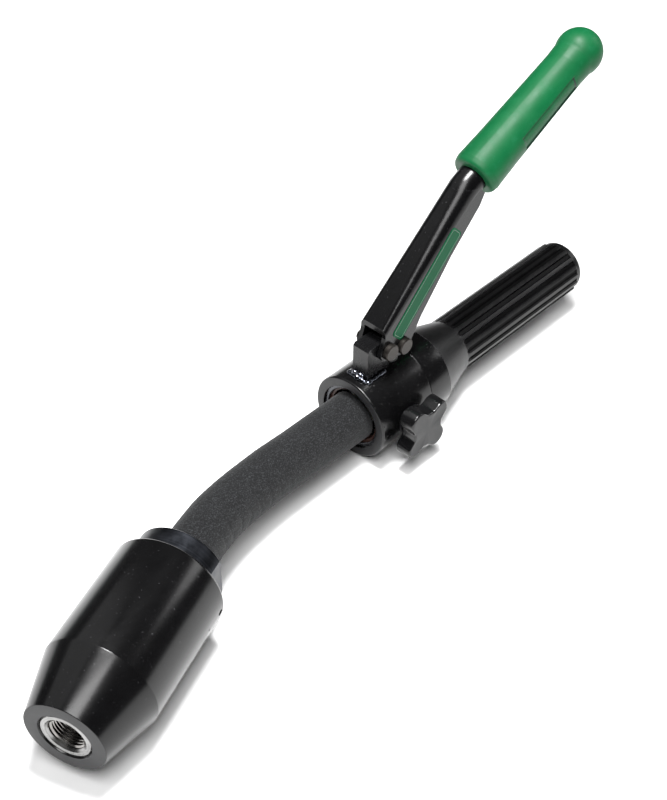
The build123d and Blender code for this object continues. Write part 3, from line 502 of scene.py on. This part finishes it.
# ---------------------------------------------------------------- collar and rear ring
def collar():
    """Sleeve with its rounded mouth; the front face is a lighter grey than the sides."""
    corners = [
        (0, 19.9, 0.35), (0, COLLAR_R, 1.25), (COLLAR_SEAM, COLLAR_R, 0.45), (COLLAR_SEAM, 21.0, 0),
        (14.5, 21.0, 0), (14.5, 19.5, 0), (3.2, 19.5, 0), (3.2, 20.9, 0),
        (1.5, 20.9, 0), (1.5, 19.5, 0), (0.9, 19.5, 0),
    ]
    vertices, faces = turned(softened(corners, 6), PUMP, 192)
    piece = finish_mesh("sleeve", vertices, faces, "pump", COLLAR_BLACK, 50)
    piece.data.materials.append(FACE_GREY)
    origin = float(row((0.0, 0.0, 0.0))[0])
    for polygon in piece.data.polygons:
        if polygon.center.x < origin + FACE_DEPTH:
            polygon.material_index = 1
    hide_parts("collar_sleeve")


collar()


def snap_ring():
    """Snap ring just inside the mouth, with rounded edges and a gap at the bottom."""
    front, rear = 1.6, 3.1
    inner_r, outer_r = 17.6, 20.7
    half_gap = math.radians(13.7)
    section = softened(
        [(front, inner_r, 0.6), (rear, inner_r, 0.4), (rear, outer_r, 0.2), (front, outer_r, 0.2)], 5)
    rings = []
    for angle in np.linspace(half_gap - math.pi / 2, 1.5 * math.pi - half_gap, 160):
        points = [(x, r * math.cos(angle), r * math.sin(angle)) for x, r in section]
        rings.append(place(points, PUMP))
    vertices, faces = skin(np.array(rings), "closed")
    piece = finish_mesh("snap_ring", vertices, faces, "pump", SNAP_STEEL, 40)
    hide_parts("mouth_snap_ring")


snap_ring()


def ring():
    """Ring behind the sleeve, with the spigot that carries the handle."""
    spigot_end = 62.3
    spigot_r = 20.7
    bore_r = 17.0
    step = 57.5
    socket_r = 20.95
    corners = [
        (COLLAR_SEAM, socket_r, 0), (COLLAR_SEAM, COLLAR_R, 0.45), (RING_END, COLLAR_R, 0.6),
        (RING_END, spigot_r, 0), (spigot_end, spigot_r, 0), (spigot_end, bore_r, 0),
        (step, bore_r, 0), (step, socket_r, 0),
    ]
    vertices, faces = turned(softened(corners, 5), PUMP, 192)
    piece = finish_mesh("end_ring", vertices, faces, "pump", COLLAR_BLACK, 50)
    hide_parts("rear_ring")


ring()


# ---------------------------------------------------------------- handle
def handle():
    """Cone, grip and plain stepped end; each flute has a flat floor and a scalloped start."""
    socket_r = 20.8
    pitch = 2 * math.pi / FLUTES
    corners = [
        (HANDLE_START, socket_r, 0), (HANDLE_START, 24.4, 0.4), (CONE_END, HANDLE_R, 2.0),
        (FLUTE_END, HANDLE_R, 0.5), (FLUTE_END, HANDLE_END_R, 0.25),
        (HANDLE_END, HANDLE_END_R, 1.4), (HANDLE_END, FILL_HOLE_R, 0.3),
        (HANDLE_FLOOR, FILL_HOLE_R, 0), (HANDLE_FLOOR, HANDLE_BORE_R, 0),
        (CONE_END, HANDLE_BORE_R, 0), (63.8, 17.6, 0), (62.8, socket_r, 0),
    ]
    profile = softened(corners, 5)
    dense = divided(profile, 1.2)

    def shaped(x, r, angle):
        inside_bore = r < HANDLE_BORE_R + 1
        if inside_bore or x < CONE_END - 7 or x > FLUTE_END + 0.2:
            return r
        offset = (angle / pitch + 0.5) % 1.0 - 0.5
        reach = abs(offset) * pitch * HANDLE_R
        start = CONE_END - 0.4 + 2.4 * (reach / FLUTE_HALF) ** 2
        wall = smooth_step((FLUTE_HALF + 0.3 - reach) / 0.6)
        wall *= smooth_step(x - start)
        if r < FLUTE_FLOOR_R or wall <= 0:
            return r
        return r + (FLUTE_FLOOR_R - r) * wall

    vertices, faces = turned(dense, PUMP, 16 * FLUTES, shaped)
    piece = finish_mesh("handle_body", vertices, faces, "pump", HANDLE, 38)
    # The flutes' floors and walls get the darker material: painted shade in the grooves.
    piece.data.materials.append(FLUTE_PAINTED_SHADE)
    for polygon in piece.data.polygons:
        x, y, z = np.array(polygon.center) * 1000 + ROW_ORIGIN
        in_flute = FLUTE_FLOOR_R - 0.8 < math.hypot(y, z) < HANDLE_R - 0.6
        if in_flute and CONE_END < x < FLUTE_END - 0.1:
            polygon.material_index = 1
    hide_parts("handle_shell")


handle()


# ---------------------------------------------------------------- ram
def ram():
    """Cylinder with its nose cone, seal grooves, set screw's hole and a small dimple."""
    bore_r = 25.0
    thread_r = 25.6
    rod_r = 13.5
    lip_r = 13.6
    wiper_r = 15.85
    seal_r = 17.05
    corners = [
        (0, thread_r, 0), (0, RAM_R, 2.2), (RAM_SHOULDER, RAM_R, 1.2),
        (RAM_LENGTH, NOSE_FACE_R, 0.5), (RAM_LENGTH, 14.1, 0.35), (97.6, lip_r, 0),
        (90, lip_r, 0), (90, wiper_r, 0), (86.5, wiper_r, 0), (86.5, rod_r, 0),
        (82, rod_r, 0), (82, seal_r, 0), (77, seal_r, 0), (77, rod_r, 0), (69, rod_r, 0),
        (69, bore_r, 0), (7.8, bore_r, 0), (7.2, thread_r, 0),
    ]
    profile = softened(corners, 7)
    vertices, faces = turned(profile, RAM, 224)
    piece = finish_mesh("ram_body", vertices, faces, "ram", BLACK, 40)
    cutters = []
    angle = math.radians(CAP_SCREW_ANGLE)
    direction = RAM[1][1] * math.cos(angle) + RAM[1][2] * math.sin(angle)
    outside = 34.0
    for s, radius, depth in ((4.8, 1.75, 24.0), (16.5, 0.55, 28.6)):
        base = RAM_REAR + NOSE * s
        bpy.ops.mesh.primitive_cylinder_add(
            vertices=32, radius=radius / 1000, depth=(outside - depth) / 1000)
        cutter = bpy.context.active_object
        cutter.location = row(base + direction * (depth + outside) / 2)
        cutter.rotation_mode = "QUATERNION"
        cutter.rotation_quaternion = Vector(direction).to_track_quat("Z", "Y")
        cutters.append(cutter)
        cut = piece.modifiers.new("hole", "BOOLEAN")
        cut.object = cutter
        cut.operation = "DIFFERENCE"
        cut.solver = "EXACT"
    bake_modifiers(piece)
    for cutter in cutters:
        bpy.data.objects.remove(cutter)
    piece.data.materials.append(FACE_GREY)
    face_centre = Vector(row(RAM_REAR + NOSE * RAM_LENGTH))
    axis = Vector(NOSE)
    for polygon in piece.data.polygons:
        away = Vector(polygon.center) - face_centre
        if abs(away.dot(axis)) < FACE_DEPTH and polygon.normal.dot(axis) > 0.9:
            polygon.material_index = 1
    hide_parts("ram_cylinder")


def bake_modifiers(piece):
    """Applies a piece's modifiers to its mesh."""
    graph = bpy.context.evaluated_depsgraph_get()
    mesh = bpy.data.meshes.new_from_object(piece.evaluated_get(graph))
    old = piece.data
    piece.modifiers.clear()
    piece.data = mesh
    mesh.polygons.foreach_set("use_smooth", [True] * len(mesh.polygons))
    mesh.set_sharp_from_angle(angle=math.radians(38))
    bpy.data.meshes.remove(old)


ram()


def rod_threads():
    """Helical ridges of the draw stud thread, standing inward from the bore's wall."""
    pitch = 25.4 / 16
    wall = 9.5
    crest = 8.66
    start = 70.2
    end = 96.4
    per_turn = 72
    turns = (end - start) / pitch
    count = int(turns * per_turn)
    rings = []
    for i in range(count + 1):
        angle = 2 * math.pi * i / per_turn
        x = start + pitch * i / per_turn
        fade = min(1.0, (count - i) / (per_turn * 0.5), i / (per_turn * 0.25) + 0.02)
        fade = max(fade, 0.02)
        section = [
            (-pitch * 0.46, wall), (-pitch * 0.08, wall - (wall - crest) * fade),
            (pitch * 0.08, wall - (wall - crest) * fade), (pitch * 0.46, wall),
        ]
        ring_points = [(x + dx, r * math.cos(angle), r * math.sin(angle)) for dx, r in section]
        rings.append(place(ring_points, RAM))
    vertices, faces = skin(np.array(rings), "closed")
    finish_mesh("rod_thread", vertices, faces, "piston", THREAD_STEEL, 20)


rod_threads()


# ---------------------------------------------------------------- label
def label_frame():
    """A thin light line round the label, on its own plate's face."""
    start = np.array([-87.6, -5.7])
    end = np.array([-20.8, -3.0])
    along = (end - start) / np.linalg.norm(end - start)
    across = np.array([-along[1], along[0]])
    margin = 1.0
    half_length = np.linalg.norm(end - start) / 2 - margin
    half_width = 5.3 - margin
    corner = 1.8
    line = 0.22
    middle = (start + end) / 2
    outer = []
    inner = []
    for cx, cz, first in ((1, 1, 0), (-1, 1, 90), (-1, -1, 180), (1, -1, 270)):
        for step in range(7):
            a = math.radians(first + 15 * step)
            reach = np.array([math.cos(a), math.sin(a)])
            centre = np.array([cx * (half_length - corner), cz * (half_width - corner)])
            outer.append(centre + reach * corner)
            inner.append(centre + reach * (corner - line))

    root_half, end_half = 8.95, 8.4          # half of the lever's width at its two ends
    plate = 0.3

    def surface(point, lift):
        s, z = middle + along * point[0] + across * point[1]
        side = root_half + (end_half - root_half) * (s + 88.0) / 92.0 + plate
        return (s, -side - lift, z)

    rings = [
        [surface(p, 0.03) for p in outer], [surface(p, 0.03) for p in inner],
        [surface(p, -0.1) for p in inner], [surface(p, -0.1) for p in outer],
    ]
    vertices, faces = skin(np.array([place(ring_points, LEVER) for ring_points in rings]), "joined")
    finish_mesh("label_line", vertices, faces, "lever", LABEL_LINE, 40)


label_frame()


# ---------------------------------------------------------------- lever grip
GRIP_MEAN_R = 12.8
SEAMS = (96.0, 276.0)         # parting lines, in degrees from +Y towards +Z
PANEL_MIDDLE = 178.0
PANEL_HALF = 4.9
PANEL_START = 30.5
PANEL_END = 78.0


def panel_inset(x, angle):
    """Distance in from the recess's nearest edge; negative outside the recess."""
    gap = signed(angle - math.radians(PANEL_MIDDLE)) * GRIP_MEAN_R
    return min(PANEL_HALF - abs(gap), x - PANEL_START, PANEL_END - x)


def grip():
    """Dipped grip: rolled lip, waist, ball end, a faint parting line and a plain recess."""
    tube_r = 8.55
    outer = [
        (0.0, tube_r, 0), (0.0, 13.0, 2.6), (4.5, 13.95, 3.0), (22, 13.3, 40), (70, 12.3, 40),
        (83, 12.1, 9.0), (90.5, 12.75, 0),
    ]
    profile = softened(outer, 6)[:-1]
    ball_centre = 96.2
    ball_r = 13.54
    ball_start = 113
    on_axis = 0.02
    for k in range(25):
        a = math.radians(ball_start * (1 - k / 24))
        profile.append((ball_centre + ball_r * math.cos(a), max(ball_r * math.sin(a), on_axis)))
    bore_end = 81.0
    profile += [(bore_end, on_axis), (bore_end, tube_r)]
    dense = divided(profile, 0.9)
    outside_r = 9.5

    def shaped(x, r, angle):
        if r < outside_r or x > ball_centre + 11.8:
            return r
        seam = 0.0
        for side in SEAMS:
            gap = abs(signed(angle - math.radians(side))) * r
            seam += 0.05 * math.exp(-(gap / 0.9) ** 2) * smooth_step((92.0 - x) / 6.0)
        return r + seam - 0.8 * smooth_step(panel_inset(x, angle) / 0.5)

    vertices, faces = turned(dense, GRIP, 288, shaped)
    piece = finish_mesh("grip_cover", vertices, faces, "lever", GREEN, 60)
    # Faces just inside the recess's edge, its walls and a narrow strip of its floor, get the darker
    # green: painted shade.
    piece.data.materials.append(GREEN_PAINTED_SHADE)
    origin, axes = GRIP
    for polygon in piece.data.polygons:
        x, y, z = (np.array(polygon.center) * 1000 + ROW_ORIGIN - origin) @ axes.T
        at_edge = 0.0 < panel_inset(x, math.atan2(z, y)) < 0.9
        if at_edge and math.hypot(y, z) > outside_r:
            polygon.material_index = 1
    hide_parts("lever_grip")


grip()


# ---------------------------------------------------------------- release knob
def knob():
    """Four rounded lobes with eased edges; the face is matter than the sides, and its lighter grey is
    painted light.
    """
    count = 360
    angles = np.arange(count) / count * 2 * math.pi
    valley_r = 11.3
    tip_r = 18.55
    first_lobe = 38
    axis_x = 22.6
    reach = np.full(count, valley_r)
    for index in range(4):
        narrow = 5.2 if index % 2 == 0 else 6.2
        centre_r = 18.6 - narrow
        lobe = math.radians(first_lobe + 90 * index)
        for i, a in enumerate(angles):
            gap = signed(a - lobe)
            if abs(gap) > math.pi / 2:
                continue
            side = centre_r * math.sin(abs(gap))
            if side < narrow:
                reach[i] = max(reach[i], centre_r * math.cos(gap) + math.sqrt(narrow**2 - side**2))
            if abs(gap) > 0.2:
                edge = narrow / math.sin(abs(gap))
                if edge * math.cos(gap) < centre_r:
                    reach[i] = max(reach[i], edge)
    kernel = np.exp(-0.5 * (np.arange(-14, 15) / 5.0) ** 2)
    kernel /= kernel.sum()
    wrapped = np.concatenate([reach[-14:], reach, reach[:14]])
    reach = np.convolve(wrapped, kernel, "valid")
    reach *= tip_r / reach.max()
    face = -38.5
    back = -28.7
    rounding = 1.1
    rear_rounding = 0.88
    rows = [(face + 0.35 * (1 - share**2), share) for share in (0.16, 0.35, 0.55, 0.75, 0.9)]
    outline = []
    for k in range(7):
        a = math.radians(90 * k / 6)
        outline.append((face + rounding * (1 - math.cos(a)), rounding * (1 - math.sin(a))))
    for k in range(7):
        a = math.radians(90 * k / 6)
        outline.append((back - rear_rounding * (1 - math.sin(a)), rear_rounding * (1 - math.cos(a))))

    def level(y, r):
        points = np.stack([axis_x + r * np.cos(angles), np.full(count, y), r * np.sin(angles)], 1)
        return place(points, PUMP)

    rings = [level(y, (reach - rounding) * share) for y, share in rows]
    rings += [level(y, reach - inset) for y, inset in outline]
    rings += [level(back, (reach - rounding) * share) for share in (0.8, 0.5)]
    bore = np.full(count, 3.25)
    rings += [level(back, bore), level(face + 2.9, bore)]
    rings = np.array(rings)
    vertices, faces = skin(rings, "closed")
    piece = finish_mesh("knob_star", vertices, faces, "release_knob", KNOB, 40)
    piece.data.materials.append(KNOB_FACE_MATTE_PAINTED_LIGHT)
    # The front faces take the matter material, whose lighter grey is painted light.
    front = float(row((0.0, face + 0.45, 0.0))[1])
    for polygon in piece.data.polygons:
        if polygon.center.y < front and polygon.normal.y < -0.97:
            polygon.material_index = 1
    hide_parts("release_knob")


knob()


# ---------------------------------------------------------------- weld
def weld():
    """Lumpy weld bead round the foot of the bracket."""
    lines = [
        [(7.0, 6.0, 25.0), (6.4, 3.0, 25.7), (6.0, 0, 25.9), (6.2, -3.0, 25.7), (6.8, -6.0, 25.0)],
        [(7.4, 3.0, 27.0), (7.4, -3.0, 27.0)],
        [(7.6, -6.4, 24.9), (12.0, -6.3, 24.9), (17.0, -6.3, 24.9), (21.5, -6.2, 25.0)],
        [(7.6, 6.4, 24.9), (12.0, 6.3, 24.9), (17.0, 6.3, 24.9), (21.5, 6.2, 25.0)],
    ]
    front = 7.5                  # beads in front of this are larger
    vertices = []
    faces = []
    seed = 0
    for line in lines:
        line = np.array(line, float)
        for a, b in zip(line, line[1:]):
            for t in np.linspace(0, 1, max(2, int(np.linalg.norm(b - a) / 1.1)), endpoint=False):
                seed += 1
                centre = a + (b - a) * t
                jitter = noise.noise_vector(Vector((seed * 3.17, 0.3, 0.7)))
                size = (1.9 if centre[0] < front else 1.55) + 0.45 * jitter.x
                centre = centre + np.array([jitter.y, jitter.z, 0.3 * jitter.x]) * 0.45
                bead = bmesh.new()
                bmesh.ops.create_icosphere(bead, subdivisions=3, radius=1.0)
                base = len(vertices)
                for v in bead.verts:
                    wobble = 1 + 0.16 * noise.noise(v.co * 1.7 + Vector((seed, 0, 0)))
                    vertices.append(centre + np.array([v.co.x, v.co.y, v.co.z * 0.8]) * size * wobble)
                faces += [tuple(base + v.index for v in f.verts) for f in bead.faces]
                bead.free()
    piece = finish_mesh("weld_bead", row(vertices), faces, None, WELD, 80)
    remesh = piece.modifiers.new("remesh", "REMESH")
    remesh.mode = "VOXEL"
    remesh.voxel_size = 0.00022
    relax = piece.modifiers.new("relax", "SMOOTH")
    relax.factor = 0.6
    relax.iterations = 4
    bake_modifiers(piece)
    piece.data.materials.clear()
    piece.data.materials.append(WELD)
    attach(piece, "pump")
    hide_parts("bracket_weld")


weld()


# ---------------------------------------------------------------- return spring
def return_coil():
    """Coil around the piston's tail; the real spring shortens as the piston is pulled back, but this
    mesh keeps one length.
    """
    start = 17.2
    length = 34.6
    mean_r = 19.0
    wire_r = 1.6
    turns = 3.5
    count = 220
    around = np.arange(16) / 16 * 2 * math.pi
    rings = []
    for k in range(count + 1):
        angle = 2 * math.pi * turns * k / count
        x = start + wire_r + (length - 2 * wire_r) * k / count + wire_r * np.cos(around)
        r = mean_r + wire_r * np.sin(around)
        rings.append(place(np.stack([x, r * math.cos(angle), r * math.sin(angle)], 1), RAM))
    vertices, faces = skin(np.array(rings), "closed")
    piece = finish_mesh("return_coil", vertices, faces, "ram", DARK_STEEL, 60)
    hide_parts("return_spring")
    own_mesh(piece)


return_coil()


# ---------------------------------------------------------------- hose and foam
ROUTE = [
    (11.0, 0.0, 0.0), (-30.0, 0.0, 0.0), (-62.0, 0.0, 1.3), (-92.0, -2.6, 2.9),
    tuple(RAM_REAR - NOSE * 36.0), tuple(RAM_REAR + NOSE * 1.0),
]


def hose_line():
    """Evenly read points of the hose's centre line, in row frame metres."""
    curve = bpy.data.curves.new("hose_line", "CURVE")
    curve.dimensions = "3D"
    spline = curve.splines.new("NURBS")
    spline.points.add(len(ROUTE) - 1)
    for point, spot in zip(spline.points, row(ROUTE)):
        point.co = (*spot, 1.0)
    spline.order_u = 3
    spline.use_endpoint_u = True
    curve.resolution_u = 60
    guide = bpy.data.objects.new("hose_line", curve)
    bpy.context.scene.collection.objects.link(guide)
    graph = bpy.context.evaluated_depsgraph_get()
    mesh = bpy.data.meshes.new_from_object(guide.evaluated_get(graph))
    points = np.array([v.co for v in mesh.vertices], float)
    bpy.data.objects.remove(guide)
    bpy.data.curves.remove(curve)
    bpy.data.meshes.remove(mesh)
    return points


LINE = hose_line()
LINE_LENGTHS = np.concatenate([[0], np.cumsum(np.linalg.norm(np.diff(LINE, axis=0), axis=1))])
HOSE_TOTAL = float(LINE_LENGTHS[-1])


def tube(name, start, end, radii, shaped, step, segments, looks, round_ends):
    """A tube along part of the hose's line, in one fixed shape and not attached to a body."""
    outer, inner = radii
    slot, material = looks
    count = max(8, int((end - start) / step))
    stations = list(np.linspace(start, end, count))
    rings = []
    angles = np.arange(segments) / segments * 2 * math.pi

    def ring_at(s, radius, detail):
        centre = np.array([np.interp(s, LINE_LENGTHS, LINE[:, k]) for k in range(3)])
        ahead = np.array([np.interp(s + 0.002, LINE_LENGTHS, LINE[:, k]) for k in range(3)])
        behind = np.array([np.interp(s - 0.002, LINE_LENGTHS, LINE[:, k]) for k in range(3)])
        tangent = (ahead - behind) / np.linalg.norm(ahead - behind)
        side = np.cross([0, 0, 1], tangent)
        side /= np.linalg.norm(side)
        up = np.cross(tangent, side)
        reach = np.full(segments, radius)
        if detail:
            reach = np.array([radius + shaped(s, a, centre, side, up) for a in angles])
        around = np.cos(angles)[:, None] * side + np.sin(angles)[:, None] * up
        return centre + around * reach[:, None]

    for s in stations:
        ease = 0.0
        for edge, rounded_end in ((start, round_ends[0]), (end, round_ends[1])):
            gap = abs(s - edge)
            if rounded_end and gap < rounded_end:
                ease += rounded_end - math.sqrt(max(0.0, rounded_end**2 - (rounded_end - gap) ** 2))
        rings.append(ring_at(s, outer - ease, shaped is not None))
    for s in reversed(stations[:: max(1, count // 24)] + [stations[-1]]):
        rings.append(ring_at(s, inner, False))
    rings.append(ring_at(stations[0], inner, False))
    vertices, faces = skin(np.array(rings), "joined")
    piece = finish_mesh(name, vertices, faces, None, material, 60)
    rest = piece.data.attributes.new("rest", "FLOAT_VECTOR", "POINT")
    co = np.zeros(len(piece.data.vertices) * 3)
    piece.data.vertices.foreach_get("co", co)
    rest.data.foreach_set("vector", co)
    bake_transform(piece)
    return piece


def foam_detail(s, angle, centre, side, up):
    """Fine skin of the foam, with soft wrinkles on the inside of the bend."""
    around = side * math.cos(angle) + up * math.sin(angle)
    point = Vector(centre + around * 0.0145)
    fine = noise.noise(point * 1500.0) * 0.00011 + noise.noise(point * 620.0) * 0.00009
    broad = noise.noise(point * 55.0) * 0.00022
    inward = max(0.0, math.cos(angle))
    share = smooth_step((s - 0.060) / 0.03) * smooth_step((0.150 - s) / 0.02)
    crease = math.sin(s * 720.0 + 1.6 * noise.noise(point * 90.0))
    wrinkle = -0.0002 * inward**3 * share * max(0.0, crease) ** 3
    return fine + broad + wrinkle


FOAM_START = 0.007
FOAM_END = HOSE_TOTAL - 0.015
MIDDLE = 0.5 * (FOAM_START + FOAM_END)
foam_step = 0.0006
foam_sides = 200
foam_radii = (0.01455, 0.0104)
core_radii = (0.0067, 0.0032)
foam_round = 0.0012
foam_looks = ("foam", FOAM)
core_looks = ("hose_rubber", RUBBER)
foam_front = tube(
    "foam_front", FOAM_START, MIDDLE, foam_radii, foam_detail, foam_step, foam_sides,
    foam_looks, (foam_round, 0.0))
foam_rear = tube(
    "foam_rear", MIDDLE, FOAM_END, foam_radii, foam_detail, foam_step, foam_sides,
    foam_looks, (0.0, foam_round))
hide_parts("foam_sleeve")
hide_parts("foam_sleeve")
core_step = 0.002
core_sides = 48
core_front = tube(
    "hose_front", 0.0024, MIDDLE, core_radii, None, core_step, core_sides,
    core_looks, (0.0, 0.0))
core_rear = tube(
    "hose_rear", MIDDLE, HOSE_TOTAL - 0.0118, core_radii, None, core_step, core_sides,
    core_looks, (0.0, 0.0))
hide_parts("hose_core")
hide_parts("hose_core")


# ---------------------------------------------------------------- stage, light, camera
floor_material, floor_tree, floor_shader = new_material("floor_paper")
floor_cloud = spot_noise(floor_tree, 6.0, 3.0)
floor_tone = ramped(floor_tree, floor_cloud, [(0.3, (0.84, 0.84, 0.84)), (0.7, (0.87, 0.87, 0.87))])
floor_tree.links.new(floor_tone, floor_shader.inputs["Base Color"])
floor_shader.inputs["Roughness"].default_value = 0.9
floor_mesh = bpy.data.meshes.new("floor")
extent = 4.0
low = -0.0303
floor_mesh.from_pydata(
    [(-extent, -extent, low), (extent, -extent, low), (extent, extent, low), (-extent, extent, low)],
    [], [(0, 1, 2, 3)])
floor = bpy.data.objects.new("floor", floor_mesh)
bpy.context.scene.collection.objects.link(floor)
floor_mesh.materials.append(floor_material)

world = bpy.data.worlds.new("studio")
bpy.context.scene.world = world
world.use_nodes = True
world.node_tree.nodes["Background"].inputs["Color"].default_value = (1.0, 1.0, 1.0, 1.0)
world.node_tree.nodes["Background"].inputs["Strength"].default_value = 0.06

AIM = Vector(row((4.19, 16.24, 0.0)))


def bearing(azimuth, elevation):
    """Unit vector towards an azimuth and elevation in degrees; azimuth 0 lies at -Y."""
    a = math.radians(azimuth)
    e = math.radians(elevation)
    return Vector((math.sin(a) * math.cos(e), -math.cos(a) * math.cos(e), math.sin(e)))


def soft_light(name, azimuth, elevation, distance, size, power):
    """Rectangular area light that faces the tool; lengths in metres, power in watts."""
    away = bearing(azimuth, elevation)
    light = bpy.data.lights.new(name, "AREA")
    light.shape = "RECTANGLE"
    light.size = size[0]
    light.size_y = size[1]
    light.energy = power
    lamp = bpy.data.objects.new(name, light)
    lamp.location = AIM + away * distance
    lamp.rotation_mode = "QUATERNION"
    lamp.rotation_quaternion = away.to_track_quat("Z", "Y")
    bpy.context.scene.collection.objects.link(lamp)


soft_light("top", 20.0, 88.0, 1.2, (0.26, 0.32), 25.0)
soft_light("back", -165.0, 50.0, 1.5, (1.4, 1.2), 3.5)
soft_light("right", 70.0, 30.0, 1.5, (0.6, 0.4), 3.0)
soft_light("front", -48.0, 62.0, 1.6, (0.8, 0.8), 22.0)

camera_data = bpy.data.cameras.new("camera")
camera_data.lens = 65.0
camera_data.sensor_width = 36.0
camera_data.clip_start = 0.01
camera_data.clip_end = 20.0
camera = bpy.data.objects.new("camera", camera_data)
bpy.context.scene.collection.objects.link(camera)
back = bearing(-46.681, 42.366)
camera_distance = 0.813
camera.location = AIM + back * camera_distance
camera.rotation_mode = "QUATERNION"
roll = Matrix.Rotation(math.radians(0.302), 4, "Z").to_quaternion()
camera.rotation_quaternion = (-back).to_track_quat("-Z", "Y") @ roll
bpy.context.scene.camera = camera
bpy.context.scene.view_settings.view_transform = "Standard"
